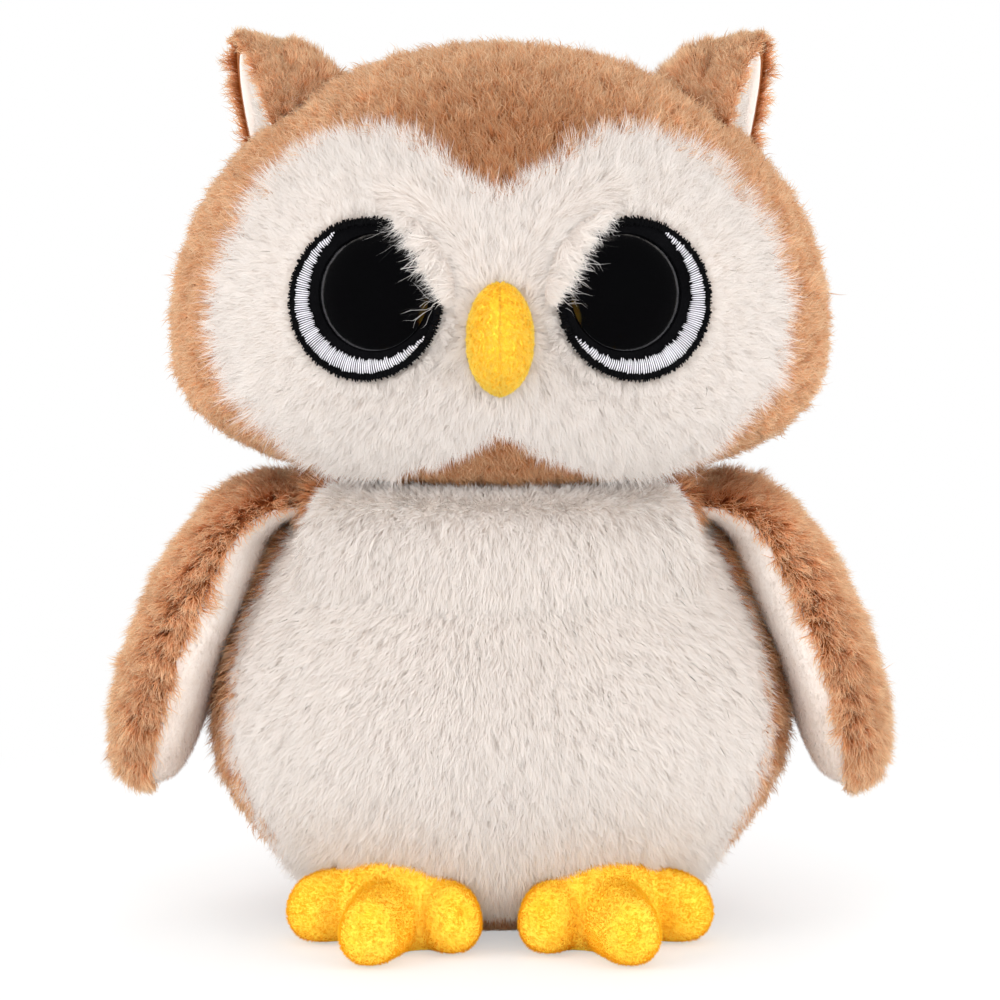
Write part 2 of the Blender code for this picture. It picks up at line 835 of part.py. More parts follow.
def wing_hinge(side):
    """The seam line of a wing, clear of the shoulder by the root's radius and a gap."""
    height = BODY_HEIGHT * WING_SEAM_SHARE
    here = Vector((BODY_WIDTH / 2 * body_profile(WING_SEAM_SHARE), height))
    step = PROBE / BODY_HEIGHT
    above = Vector((BODY_WIDTH / 2 * body_profile(WING_SEAM_SHARE + step), height + PROBE))
    along = (above - here).normalized()
    place = here + Vector((along.y, -along.x)) * (WING_ROOT_RADIUS + 2 * GAP)
    return Vector((side * place.x, 0.0, place.y))


def wing_spine(side):
    """The middle line of a hanging wing, which stands off the body by its own thickness."""
    hinge = wing_hinge(side)
    points = [hinge]
    for down, stand_off in WING_SPINE_SHARES:
        height = hinge.z - WING_DROP * down
        body_half_width = BODY_WIDTH / 2 * body_profile(height / BODY_HEIGHT)
        reach = body_half_width + WING_THICKNESS / 2 * stand_off
        points.append(Vector((side * reach, 0.0, height)))
    points.append(hinge + Vector((side * WING_REACH, 0.0, -WING_DROP)))
    return open_curve(points, WING_SPINE_STEPS)


def along_spine(curve, share):
    """The point at a share of a curve's length, and the direction there."""
    lengths = [(b - a).length for a, b in zip(curve, curve[1:])]
    left = share * sum(lengths)
    for index, length in enumerate(lengths):
        if left <= length or index == len(lengths) - 1:
            part = left / length
            here, following = curve[index], curve[index + 1]
            return here.lerp(following, part), (following - here).normalized()
        left -= length
    return curve[-1], (curve[-1] - curve[-2]).normalized()


def wing_ring(place, along, half_breadth, half_thickness, side):
    out = Vector((-along.z, 0.0, along.x)) * side
    points = []
    for step in range(WING_SEGMENTS):
        angle = math.tau * step / WING_SEGMENTS
        y = half_breadth * signed_power(math.cos(angle), 2 / WING_POWER)
        depth = half_thickness * signed_power(math.sin(angle), 2 / WING_POWER)
        points.append(place + Vector((0.0, y, 0.0)) + out * depth)
    return points


def wing_solid(name, side, inset=0.0):
    curve = wing_spine(side)
    half_breadth = WING_BREADTH / 2
    half_thickness = WING_THICKNESS / 2
    rings = []
    root_radius = WING_ROOT_RADIUS - inset
    start, first = along_spine(curve, 0.0)
    root_breadth = half_breadth * WING_SIZE_SHARES[0][1]
    for degrees in WING_ROOT_DEGREES:
        angle = math.radians(degrees)
        rings.append(
            wing_ring(
                start - first * root_radius * math.cos(angle),
                first,
                root_breadth - inset - root_radius * (1 - math.sin(angle)),
                root_radius * math.sin(angle),
                side,
            )
        )
    for share, breadth, thickness in WING_SIZE_SHARES:
        place, along = along_spine(curve, share)
        wide = half_breadth * breadth - inset
        thick = half_thickness * thickness - inset
        rings.append(wing_ring(place, along, wide, thick, side))
    tip, along = along_spine(curve, 1.0)
    return loft(name, rings, None, tip - along * inset)


def wing_half_space(name, side, outer):
    """All that lies on one side of the seam that runs round a wing's edge."""
    curve = wing_spine(side)
    first, last = (curve[1] - curve[0]).normalized(), (curve[-1] - curve[-2]).normalized()
    path = [curve[0] - first * OVERRUN, *curve[::WING_SPINE_STEPS], curve[-1] + last * OVERRUN]
    reach = WING_BREADTH
    rings = []
    for index, place in enumerate(path):
        before, after = path[max(index - 1, 0)], path[min(index + 1, len(path) - 1)]
        along = (after - before).normalized()
        out = Vector((-along.z, 0.0, along.x)) * side
        near, far = (GAP / 2, WING_THICKNESS) if outer else (-GAP / 2, -WING_THICKNESS)
        corners = ((-reach, near), (reach, near), (reach, far), (-reach, far))
        rings.append([place + Vector((0.0, y, 0.0)) + out * depth for y, depth in corners])
    return loft(name, rings)


def make_wing(word, side, wing):
    shell = minus(wing_solid("shell", side), wing_solid("core", side, THIN_PANEL))
    outer = within(copied(shell, "outer"), wing_half_space("outside", side, True))
    named(outer, f"wing_{word}_outer_panel", "brown_fur", wing)
    lining = within(shell, wing_half_space("inside", side, False))
    named(lining, f"wing_{word}_lining", "white_minky", wing)
    filling = wing_solid("filling", side, THIN_PANEL + GAP)
    named(filling, f"wing_{word}_stuffing", "fibre_filling", wing)


def ear_frame(side):
    """The middle of an ear's opening, and the turn of its axes: inward, back and up."""
    centre = Vector((side * EAR_SPREAD, EAR_SETBACK, EAR_BASE_HEIGHT))
    lean = Matrix.Rotation(-side * EAR_LEAN, 4, "Y")
    turn = Matrix.Rotation(-side * EAR_OPENING_TURN, 4, "Z")
    return centre, lean @ turn


def ear_seat():
    """The place on the head's outline, seen from the front, that an ear bends about."""
    x = EAR_SPREAD - EAR_DEPTH * EAR_SEAT_SHARE
    angle = math.acos(2 * x / HEAD_WIDTH)
    z = HEAD_WIDEST_HEIGHT + HEAD_CROWN * math.sin(angle)
    slope = Vector((-HEAD_WIDTH / 2 * math.sin(angle), 0.0, HEAD_CROWN * math.cos(angle)))
    return Vector((x, EAR_SETBACK, z)), slope.normalized()


def ear_pivot_place(side):
    seat = ear_seat()[0]
    return Vector((side * seat.x, seat.y, seat.z))


def ear_layer(name, side, low, high):
    """A hood between two depths below the ear's outer surface, open to the outside."""
    centre, turn = ear_frame(side)
    outer = (EAR_DEPTH - low, EAR_HALF_BREADTH - low, EAR_TALL - low)
    inner = (EAR_DEPTH - high, EAR_HALF_BREADTH - high, EAR_TALL - high)
    hood = ball(name, centre, outer, turn, EAR_SEGMENTS, EAR_SEGMENTS // 2)
    minus(hood, ball("hollow", centre, inner, turn, EAR_SEGMENTS, EAR_SEGMENTS // 2))
    placing = Matrix.Translation(centre) @ turn
    reach = EAR_TALL + OVERRUN
    near, far = sorted((0.0, -side * reach))
    low_corner = (near, -reach, -reach)
    high_corner = (far, reach, reach)
    within(hood, block("opening", low_corner, high_corner, placing))
    slope = ear_seat()[1]
    hinge = Vector((side * slope.x, 0.0, slope.z))
    at_seat = Matrix.Translation(ear_pivot_place(side))
    for fold in (-EAR_FOLD, 0.0, EAR_FOLD):
        head = head_solid("head", -GAP)
        bend = Matrix.Rotation(fold, 4, hinge)
        head.data.transform(at_seat @ bend @ at_seat.inverted())
        minus(hood, head)
    return hood


def make_ear(word, side, ear):
    outer = ear_layer("outer", side, 0.0, EAR_PANEL)
    named(outer, f"ear_{word}_outer_panel", "brown_fur", ear)
    lining = ear_layer("lining", side, EAR_PANEL + GAP, EAR_PANEL + GAP + EAR_LINING)
    named(lining, f"ear_{word}_lining", "white_minky", ear)


def toe_solid(name, heel, along, reach, inset):
    """A fat toe: a tapered bar from the heel with a round tip."""
    across = Vector((-along.y, along.x, 0.0))
    half_width, half_height = TOE_RADIUS - inset, TOE_CREST - inset
    segments = FOOT_CORE_SEGMENTS if inset else FOOT_SEGMENTS
    stations = [(reach * place + inset, size) for place, size in TOE_TAPER_SHARES]
    tip = half_width * TOE_TIP_SHARE
    for degrees in TOE_TIP_DEGREES:
        angle = math.radians(degrees)
        stations.append((reach + tip * math.sin(angle), TOE_TIP_SHARE * math.cos(angle)))
    rings = []
    for distance, size in stations:
        ring = []
        for step in range(segments):
            angle = math.tau * step / segments
            sideways = across * (half_width * size * math.cos(angle))
            rise = Vector((0.0, 0.0, half_height * size * math.sin(angle)))
            ring.append(heel + along * distance + sideways + rise)
        rings.append(ring)
    return loft(name, rings, None, heel + along * (reach + tip))


def foot_solid(name, side, inset=0.0):
    """Three fat toes and a pad, as one puffed shape that the floor cuts flat."""
    heel = Vector((side * FOOT_SPREAD, -FOOT_FORWARD, FOOT_AXIS_HEIGHT))
    parts = []
    for fan, share in ((-TOE_FAN, SIDE_TOE_SHARE), (0.0, 1.0), (TOE_FAN, SIDE_TOE_SHARE)):
        turn = side * FOOT_TURN + fan
        along = Vector((math.sin(turn), -math.cos(turn), 0.0))
        parts.append(toe_solid("toe", heel, along, TOE_REACH * share, inset))
    turn = side * FOOT_TURN
    forward = Vector((math.sin(turn), -math.cos(turn), 0.0)) * PAD_FORWARD
    radii = (PAD_RADIUS - inset, PAD_RADIUS - inset, PAD_CREST - inset)
    segments = FOOT_CORE_SEGMENTS if inset else FOOT_SEGMENTS
    pad = ball("pad", heel + forward, radii, None, segments, FOOT_LEVELS)
    joined(pad, *parts)
    pad.name = name
    return pad


def floor_slab(name, low, high):
    reach = BODY_WIDTH
    return block(name, (-reach, -reach, low), (reach, reach, high))


def make_foot(word, side):
    outer = minus(foot_solid("outer", side), body_solid("body", -GAP))
    sole = within(copied(outer, "sole"), floor_slab("sole_space", 0.0, FOOT_PANEL))
    named(sole, f"foot_{word}_sole", "yellow_minky")
    within(outer, floor_slab("upper_space", FOOT_PANEL + GAP, 2 * PAD_RADIUS + OVERRUN))
    minus(outer, foot_solid("core", side, FOOT_PANEL))
    named(outer, f"foot_{word}_upper", "yellow_minky")
    filling = minus(foot_solid("filling", side, FOOT_PANEL + GAP), body_solid("body", -GAP))
    within(filling, floor_slab("filling_space", FOOT_PANEL + GAP, 2 * PAD_RADIUS + OVERRUN))
    named(filling, f"foot_{word}_stuffing", "fibre_filling")


def make_owl():
    make_body()
    neck = pivot("neck_pivot", (0.0, 0.0, NECK_HEIGHT))
    head = pivot("head_pivot", (0.0, 0.0, NECK_HEIGHT), neck)
    make_neck(neck)
    make_head(head)
    make_beak(head)
    for word, side in SIDES:
        make_eye(word, side, head)
        make_foot(word, side)
        make_wing(word, side, pivot(f"wing_{word}_pivot", wing_hinge(side)))
        make_ear(word, side, pivot(f"ear_{word}_pivot", ear_pivot_place(side), head))


make_owl()
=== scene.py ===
"""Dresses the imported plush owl: smooth skins, combed fur, eyes, beak, feet, floor, light and camera."""

import math

import bpy
import numpy as np
from mathutils import Matrix, Vector
from mathutils.kdtree import KDTree


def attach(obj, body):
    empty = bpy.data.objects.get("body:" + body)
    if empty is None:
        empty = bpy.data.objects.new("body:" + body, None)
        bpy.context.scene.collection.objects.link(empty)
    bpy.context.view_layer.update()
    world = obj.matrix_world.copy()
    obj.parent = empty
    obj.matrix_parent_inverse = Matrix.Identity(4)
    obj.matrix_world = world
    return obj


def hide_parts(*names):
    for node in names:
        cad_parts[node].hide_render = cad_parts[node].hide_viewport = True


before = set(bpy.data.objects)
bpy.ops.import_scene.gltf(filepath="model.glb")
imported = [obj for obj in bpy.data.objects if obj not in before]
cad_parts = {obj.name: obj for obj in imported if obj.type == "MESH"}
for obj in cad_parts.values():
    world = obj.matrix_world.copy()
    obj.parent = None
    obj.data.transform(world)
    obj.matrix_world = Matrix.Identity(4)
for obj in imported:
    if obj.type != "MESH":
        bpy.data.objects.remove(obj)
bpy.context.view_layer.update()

# Sizes repeated from the part's source, in metres
GAP = 0.0003
BODY_WIDTH = 0.159
BODY_FRONT = 0.063
BODY_BACK = 0.056
BODY_HEIGHT = 0.1162
BODY_POWER = 2.1
BODY_PROFILE_SHARES = (
    (0.00, 0.545),
    (0.06, 0.655),
    (0.12, 0.745),
    (0.20, 0.840),
    (0.29, 0.925),
    (0.38, 0.982),
    (0.48, 1.000),
    (0.59, 0.975),
    (0.70, 0.915),
    (0.81, 0.830),
    (0.90, 0.745),
    (0.96, 0.655),
    (1.00, 0.530),
)
NECK_OPENING = 0.0048
HEAD_WIDTH = 0.178
HEAD_FRONT = 0.070
HEAD_BACK = 0.060
HEAD_CROWN = 0.0765
HEAD_JOWL = 0.042
HEAD_WIDEST_HEIGHT = BODY_HEIGHT + NECK_OPENING + HEAD_JOWL
CROWN_POWER = 2.0
JOWL_POWER = 2.6
GIRTH_POWER = 2.05
EYE_SPREAD = 0.0348
EYE_HEIGHT = HEAD_WIDEST_HEIGHT + 0.013
PATCH_RADIUS = 0.0210
CRESCENT_RADIUS = 0.0190
PUPIL_RADIUS = 0.0150
DOME_RIM = 0.0006
PUPIL_RISE = 0.0065
PUPIL_INWARD_SHIFT = 0.0021
PUPIL_UPWARD_SHIFT = 0.0020
BEAK_WIDTH = 0.0165
BEAK_LENGTH = 0.0290
BEAK_REACH = 0.0135
BEAK_ROOT = 0.0060
BEAK_HEIGHT = HEAD_WIDEST_HEIGHT + 0.0035
BEAK_REACH_SHARES = (
    (0.00, 0.10),
    (0.04, 0.34),
    (0.14, 0.72),
    (0.28, 0.95),
    (0.42, 1.00),
    (0.56, 0.96),
    (0.70, 0.84),
    (0.84, 0.62),
    (0.95, 0.34),
    (1.00, 0.10),
)
WING_SEAM_SHARE = 0.955
WING_ROOT_RADIUS = 0.0044
WING_BREADTH = 0.056
WING_THICKNESS = 0.0235
WING_DROP = 0.0835
WING_REACH = 0.0422
WING_POWER = 2.2
WING_SPINE_SHARES = (
    (0.010, 1.34),
    (0.070, 1.34),
    (0.180, 1.20),
    (0.330, 1.12),
    (0.490, 1.09),
    (0.660, 1.17),
    (0.820, 1.50),
)
WING_SIZE_SHARES = (
    (0.00, 0.62, 0.352),
    (0.12, 0.70, 0.640),
    (0.24, 0.80, 0.860),
    (0.38, 0.91, 0.980),
    (0.54, 1.00, 1.000),
    (0.68, 0.99, 1.000),
    (0.80, 0.90, 0.950),
    (0.89, 0.74, 0.830),
    (0.95, 0.54, 0.640),
    (0.985, 0.28, 0.360),
)
EAR_SPREAD = 0.0695
EAR_SINK = 0.0003
EAR_SETBACK = 0.002
EAR_DEPTH = 0.030
EAR_HALF_BREADTH = 0.0145
EAR_TALL = 0.0315
EAR_OPENING_TURN = math.radians(20)
EAR_UPRIGHT = math.radians(42)
FOOT_SPREAD = 0.0235
FOOT_FORWARD = 0.0280
FOOT_TURN = math.radians(15)
TOE_FAN = math.radians(43)
TOE_REACH = 0.0430
SIDE_TOE_SHARE = 0.72
TOE_RADIUS = 0.0100
TOE_CREST = 0.0102
PAD_RADIUS = 0.0200
PAD_FORWARD = 0.0100
FOOT_AXIS_HEIGHT = 0.0080
SIDES = (("left", 1.0), ("right", -1.0))

EXACT = 1e-6
PILE_DEPTH = 0.0022
EYE_BED = 0.0015
rng = np.random.default_rng(11)


def lengths_of(vectors):
    return np.linalg.norm(vectors, axis=-1, keepdims=True)


def unit(vectors):
    return vectors / np.maximum(lengths_of(vectors), 1e-12)


def smoothstep(values, low, high):
    t = np.clip((values - low) / (high - low), 0, 1)
    return t * t * (3 - 2 * t)


def eased(table, place, column=1):
    """Values of a table at places between its rows, on a smooth curve through them."""
    rows = np.array(table)
    at, value = rows[:, 0], rows[:, column]
    slope = np.empty(len(at))
    slope[1:-1] = (value[2:] - value[:-2]) / (at[2:] - at[:-2])
    slope[0] = (value[1] - value[0]) / (at[1] - at[0])
    slope[-1] = (value[-1] - value[-2]) / (at[-1] - at[-2])
    place = np.clip(place, at[0], at[-1])
    row = np.clip(np.searchsorted(at, place, side="right") - 1, 0, len(at) - 2)
    span = at[row + 1] - at[row]
    t = (place - at[row]) / span
    return (
        (2 * t**3 - 3 * t**2 + 1) * value[row]
        + (t**3 - 2 * t**2 + t) * span * slope[row]
        + (3 * t**2 - 2 * t**3) * value[row + 1]
        + (t**3 - t**2) * span * slope[row + 1]
    )


def signed_power(values, power):
    return np.sign(values) * np.abs(values) ** power


# Forms: a gauge is 1 on a form's surface and grows in step with the distance from its anchor
def head_gauge(points):
    x, y, z = points.T
    rise = np.where(z > HEAD_WIDEST_HEIGHT, HEAD_CROWN, HEAD_JOWL)
    power = np.where(z > HEAD_WIDEST_HEIGHT, CROWN_POWER, JOWL_POWER)
    depth = np.where(y > 0, HEAD_BACK, HEAD_FRONT)
    across = np.abs(2 * x / HEAD_WIDTH) ** GIRTH_POWER
    girth = (across + np.abs(y / depth) ** GIRTH_POWER) ** (1 / GIRTH_POWER)
    upward = np.abs(z - HEAD_WIDEST_HEIGHT) / rise
    return (girth**power + upward**power) ** (1 / power)


def head_anchor(points):
    return np.broadcast_to((0.0, 0.0, HEAD_WIDEST_HEIGHT), points.shape)


def body_gauge(points):
    x, y, z = points.T
    profile = eased(BODY_PROFILE_SHARES, z / BODY_HEIGHT)
    depth = np.where(y > 0, BODY_BACK, BODY_FRONT)
    across = np.abs(2 * x / BODY_WIDTH) ** BODY_POWER
    return (across + np.abs(y / depth) ** BODY_POWER) ** (1 / BODY_POWER) / profile


def body_anchor(points):
    return points * (0.0, 0.0, 1.0)


HEAD_FORM = (head_gauge, head_anchor)
BODY_FORM = (body_gauge, body_anchor)


def ear_form(side):
    """The gauge and the anchor of an ear's hood, its middle and the way it is turned."""
    base = HEAD_CROWN * math.sqrt(1 - (2 * EAR_SPREAD / HEAD_WIDTH) ** 2)
    slope = math.atan2(4 * EAR_SPREAD / HEAD_WIDTH**2, base / HEAD_CROWN**2)
    lean = Matrix.Rotation(-side * (slope - EAR_UPRIGHT), 3, "Y")
    turn = np.array(lean @ Matrix.Rotation(-side * EAR_OPENING_TURN, 3, "Z"))
    centre = np.array((side * EAR_SPREAD, EAR_SETBACK, HEAD_WIDEST_HEIGHT + base - EAR_SINK))
    radii = np.array((EAR_DEPTH, EAR_HALF_BREADTH, EAR_TALL))

    def gauge(points):
        return lengths_of(((points - centre) @ turn) / radii)[:, 0]

    def anchor(points):
        return np.broadcast_to(centre, points.shape)

    return gauge, anchor, centre, turn


def settle(points, target, form):
    """Points moved to a gauge of their own on a form."""
    gauge, anchor = form[:2]
    near = anchor(points)
    now = gauge(points)
    factor = np.where(now > 0.3, target / np.maximum(now, 0.3), 1.0)
    return near + (points - near) * factor[:, None]


def form_normals(points, form):
    gauge = form[0]
    step = 1e-5
    slopes = [gauge(points + step * axis) - gauge(points - step * axis) for axis in np.eye(3)]
    return unit(np.stack(slopes, axis=1))


def on_face(x, z, above=0.0):
    """Points of the face's surface as seen from the front, and its normals."""
    x, z = np.broadcast_arrays(np.asarray(x, float), np.asarray(z, float))
    rise = np.where(z > HEAD_WIDEST_HEIGHT, HEAD_CROWN, HEAD_JOWL)
    power = np.where(z > HEAD_WIDEST_HEIGHT, CROWN_POWER, JOWL_POWER)
    level = (1 - (np.abs(z - HEAD_WIDEST_HEIGHT) / rise) ** power) ** (1 / power)
    side = np.abs(2 * x / HEAD_WIDTH) / level
    y = -HEAD_FRONT * level * (1 - side**GIRTH_POWER) ** (1 / GIRTH_POWER)
    points = np.stack((x, y, z), axis=-1).reshape(-1, 3)
    normals = form_normals(points, HEAD_FORM)
    return points + normals * above, normals


# Meshes
def placed(name, data):
    made = bpy.data.objects.new(name, data)
    bpy.context.scene.collection.objects.link(made)
    return made


def mesh_piece(name, points, faces, material):
    mesh = bpy.data.meshes.new(name)
    mesh.from_pydata([tuple(p) for p in points], [], [tuple(map(int, f)) for f in faces])
    mesh.validate()
    mesh.materials.append(material)
    mesh.shade_smooth()
    return placed(name, mesh)


def dress(piece, body, slot, *nodes):
    """The piece rides on a body and stands for CAD nodes, which are hidden; the slot is not used."""
    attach(piece, body)
    if nodes:
        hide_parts(*nodes)
    return piece


def applied(piece, kind, **settings):
    """The piece's mesh with a modifier worked in."""
    modifier = piece.modifiers.new(kind.lower(), kind)
    for key, value in settings.items():
        setattr(modifier, key, value)
    depsgraph = bpy.context.evaluated_depsgraph_get()
    made = bpy.data.meshes.new_from_object(piece.evaluated_get(depsgraph))
    piece.modifiers.clear()
    piece.data = made


def read(items, attribute, kind=np.float32):
    flat = np.empty(len(items) * 3, kind)
    items.foreach_get(attribute, flat)
    return flat.reshape(-1, 3)


def points_of(piece):
    return read(piece.data.vertices, "co").astype(float)


def vertex_normals(piece):
    return read(piece.data.vertex_normals, "vector").astype(float)


def triangles_of(piece):
    piece.data.calc_loop_triangles()
    return read(piece.data.loop_triangles, "vertices", np.int32)


def surface_of(piece):
    return points_of(piece), vertex_normals(piece), triangles_of(piece)


def move_points(piece, points):
    piece.data.vertices.foreach_set("co", points.astype(np.float32).ravel())
    piece.data.update()


def refined(points, gauges, triangles):
    """Each triangle cut in four."""
    edges = np.sort(triangles[:, ((0, 1), (1, 2), (2, 0))], axis=2).reshape(-1, 2)
    unique, inverse = np.unique(edges, axis=0, return_inverse=True)
    middles = inverse.reshape(-1, 3) + len(points)
    a, b, c = triangles.T
    ab, bc, ca = middles.T
    corners = ((a, ab, ca), (ab, b, bc), (ca, bc, c), (ab, bc, ca))
    triangles = np.concatenate([np.stack(three, axis=1) for three in corners])
    points = np.concatenate((points, points[unique].mean(axis=1)))
    gauges = np.concatenate((gauges, gauges[unique].mean(axis=1)))
    return points, gauges, triangles


FACE_ON = 0.8
CORE_GAUGE = 0.80
COVER_GAUGE = 0.90
NEAREST_ANCHOR = 0.02
MOST_INSET_SHARE = 0.2


def smooth_skin(panel, form, body, cloth, rounds=2, rim=FACE_ON, inner=False, inset=PILE_DEPTH):
    """A panel of the CAD with its facets made round, set in to the foot of the pile, in the material
    of a cloth; the cloth's finish is not used. Gives the surface that fur grows on."""
    slot, material = cloth
    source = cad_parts[panel]
    raw, corners = points_of(source), triangles_of(source)
    _, first, inverse = np.unique(
        np.round(raw / EXACT).astype(np.int64), axis=0, return_index=True, return_inverse=True
    )
    points, triangles = raw[first], inverse.reshape(-1)[corners]
    a, b, c = (points[triangles[:, corner]] for corner in range(3))
    facing = unit(np.cross(b - a, c - a))
    toward = (facing * form_normals((a + b + c) / 3, form)).sum(axis=1)
    gauges = form[0](points)
    outer = triangles[toward > FACE_ON]
    if len(outer):
        gauges[outer] = np.median(gauges[outer])
    grown = toward < -FACE_ON if inner else toward > rim
    for _ in range(rounds):
        points, gauges, triangles = refined(points, gauges, triangles)
        grown = np.tile(grown, 4)
    points = settle(points, gauges, form)
    inward = form[1](points) - points
    share = np.minimum(inset / np.maximum(lengths_of(inward), NEAREST_ANCHOR), MOST_INSET_SHARE)
    points = points + inward * share * smoothstep(gauges, CORE_GAUGE, COVER_GAUGE)[:, None]
    piece = mesh_piece(panel + "_skin", points, triangles, material)
    dress(piece, body, slot, panel)
    normals = form_normals(points, form)
    if inner:
        normals = -normals
    elif rim < FACE_ON:
        normals = unit(normals + vertex_normals(piece))
    return points, normals, triangles[grown]


def tube(rings):
    """Faces that join rings of the same number of points, with a fan at each end."""
    count, around = len(rings), len(rings[0])
    points = np.concatenate(rings)
    faces = []
    for row in range(count - 1):
        for step in range(around):
            following = (step + 1) % around
            a, b = row * around + step, row * around + following
            faces.append((a, b, b + around, a + around))
    for row, turned in ((0, True), (count - 1, False)):
        ring = [row * around + step for step in range(around)]
        middle = len(points)
        points = np.concatenate((points, points[ring].mean(axis=0)[None]))
        for step in range(around):
            pair = (ring[step], ring[(step + 1) % around])
            faces.append((*(pair[::-1] if turned else pair), middle))
    return points, faces


def grid_faces(rows, steps, flip=False):
    faces = []
    for row in range(rows - 1):
        for step in range(steps - 1):
            a = row * steps + step
            face = (a, a + 1, a + 1 + steps, a + steps)
            faces.append(face[::-1] if flip else face)
    return faces


# Materials
def new_material(name, colour, roughness=0.9, sheen=0.0, specular=0.2):
    material = bpy.data.materials.new(name)
    material.use_nodes = True
    shader = material.node_tree.nodes["Principled BSDF"]
    shader.inputs["Base Color"].default_value = (*colour, 1)
    shader.inputs["Roughness"].default_value = roughness
    shader.inputs["Specular IOR Level"].default_value = specular
    shader.inputs["Sheen Weight"].default_value = sheen
    shader.inputs["Sheen Roughness"].default_value = 0.5
    shader.inputs["Sheen Tint"].default_value = (*colour, 1)
    return material, shader


def linear(levels):
    """A colour written as it looks, in levels from 0 to 255, as the shader needs it."""
    shares = [level / 255 for level in levels]
    return tuple(s / 12.92 if s <= 0.04045 else ((s + 0.055) / 1.055) ** 2.4 for s in shares)


def new_node(owner, kind, settings=None, **inputs):
    made = owner.node_tree.nodes.new(kind)
    for key, value in (settings or {}).items():
        setattr(made, key, value)
    for key, value in inputs.items():
        made.inputs[key.replace("_", " ")].default_value = value
    return made


def link(owner, source, output, target, entry):
    owner.node_tree.links.new(source.outputs[output], target.inputs[entry])


def ramp(material, stops):
    made = material.node_tree.nodes.new("ShaderNodeValToRGB")
    elements = made.color_ramp.elements
    while len(elements) < len(stops):
        elements.new(0.5)
    for element, (place, colour) in zip(elements, stops):
        element.position = place
        element.color = (*colour, 1)
    return made


FUR_THINNESS = 0.5
MIX_FIRST, MIX_SECOND, MIX_RESULT = 6, 7, 2


def fur_material(name, root, middle, tip, dark, sheen=0.0):
    """Fur whose colour runs from root to tip, darker at the roots and lighter at the tips in part as
    painted shade deep in the pile, and from dark strands to light ones. Light shows through the fine
    strands, as it does in real pile."""
    root, middle, tip = linear(root), linear(middle), linear(tip)
    material, shader = new_material(name, tip, 0.75, sheen, 0.1)
    place = new_node(material, "ShaderNodeUVMap", {"uv_map": "OFBake"})
    parts = new_node(material, "ShaderNodeSeparateXYZ")
    # The darker roots stand in part for painted shade deep in the pile.
    along = ramp(material, ((0.18, root), (0.55, middle), (1.0, tip)))
    across = ramp(material, ((0.0, dark), (1.0, (1.0, 1.0, 1.0))))
    mixed = new_node(
        material, "ShaderNodeMix", {"data_type": "RGBA", "blend_type": "MULTIPLY"}, Factor=1.0
    )
    through = new_node(material, "ShaderNodeBsdfTranslucent")
    blend = new_node(material, "ShaderNodeMixShader", Fac=FUR_THINNESS)
    link(material, place, "UV", parts, "Vector")
    link(material, parts, "X", across, "Fac")
    link(material, parts, "Y", along, "Fac")
    link(material, along, "Color", mixed, MIX_FIRST)
    link(material, across, "Color", mixed, MIX_SECOND)
    link(material, mixed, MIX_RESULT, shader, "Base Color")
    link(material, mixed, MIX_RESULT, through, "Color")
    link(material, shader, "BSDF", blend, 1)
    link(material, through, "BSDF", blend, 2)
    link(material, blend, "Shader", material.node_tree.nodes["Material Output"], "Surface")
    return material


def cloth_material(name, dark, light, scale, height, roughness=0.92, sheen=0.3, specular=0.2):
    """A pile or felt: fine noise in colour and in height, with a broad drift of tone."""
    dark, light = linear(dark), linear(light)
    material, shader = new_material(name, light, roughness, sheen, specular)
    place = new_node(material, "ShaderNodeTexCoord")
    fine = new_node(material, "ShaderNodeTexNoise", Scale=scale, Detail=6.0, Roughness=0.65)
    broad = new_node(material, "ShaderNodeTexNoise", Scale=scale / 14, Detail=3.0)
    colours = ramp(material, ((0.30, dark), (0.62, light)))
    blend = new_node(material, "ShaderNodeMath", {"operation": "MULTIPLY_ADD"})
    blend.inputs[1].default_value = 0.55
    half = new_node(material, "ShaderNodeMath", {"operation": "MULTIPLY"})
    half.inputs[1].default_value = 0.45
    bump = new_node(material, "ShaderNodeBump", Strength=0.6, Distance=height)
    for texture in (fine, broad):
        link(material, place, "Object", texture, "Vector")
    link(material, broad, "Fac", half, 0)
    link(material, fine, "Fac", blend, 0)
    link(material, half, "Value", blend, 2)
    link(material, blend, "Value", colours, "Fac")
    link(material, colours, "Color", shader, "Base Color")
    link(material, fine, "Fac", bump, "Height")
    link(material, bump, "Normal", shader, "Normal")
    return material


BROWN_SKIN = cloth_material(
    "brown_backing", (132, 78, 44), (164, 102, 62), 900, 0.0004, 0.95, 0.0
)
WHITE_SKIN = cloth_material(
    "white_backing", (240, 233, 227), (248, 243, 238), 900, 0.0004, 0.95, 0.0
)
WHITE_MINKY = cloth_material("white_minky", (232, 221, 213), (246, 239, 233), 1400, 0.0003)
YELLOW_MINKY = cloth_material(
    "yellow_minky", (254, 206, 48), (255, 224, 84), 1500, 0.0003, 0.95, 0.25, 0.1
)
BLACK_FELT = cloth_material(
    "black_felt", (4, 4, 5), (13, 13, 15), 1600, 0.0003, 0.95, 0.0, 0.04
)
FIBRE = cloth_material("fibre_filling", (214, 214, 212), (240, 240, 238), 500, 0.001)
POUCH = cloth_material("pouch_cloth", (200, 196, 186), (226, 222, 212), 1200, 0.0002)
WASHER = cloth_material(
    "washer_plastic", (206, 206, 204), (222, 222, 220), 700, 0.00005, 0.5, 0.0
)
BLACK_THREAD = cloth_material(
    "black_thread", (4, 4, 5), (16, 16, 18), 1200, 0.0001, 0.7, 0.0, 0.06
)
WHITE_THREAD = cloth_material(
    "white_thread", (206, 204, 211), (226, 224, 230), 1200, 0.0001, 0.5, 0.1
)
BROWN_FUR = fur_material(
    "brown_fur", (192, 114, 58), (253, 194, 142), (255, 240, 208), (0.62, 0.46, 0.36)
)
WHITE_FUR = fur_material(
    "white_fur", (243, 234, 227), (249, 243, 238), (252, 249, 246), (0.94, 0.93, 0.92)
)
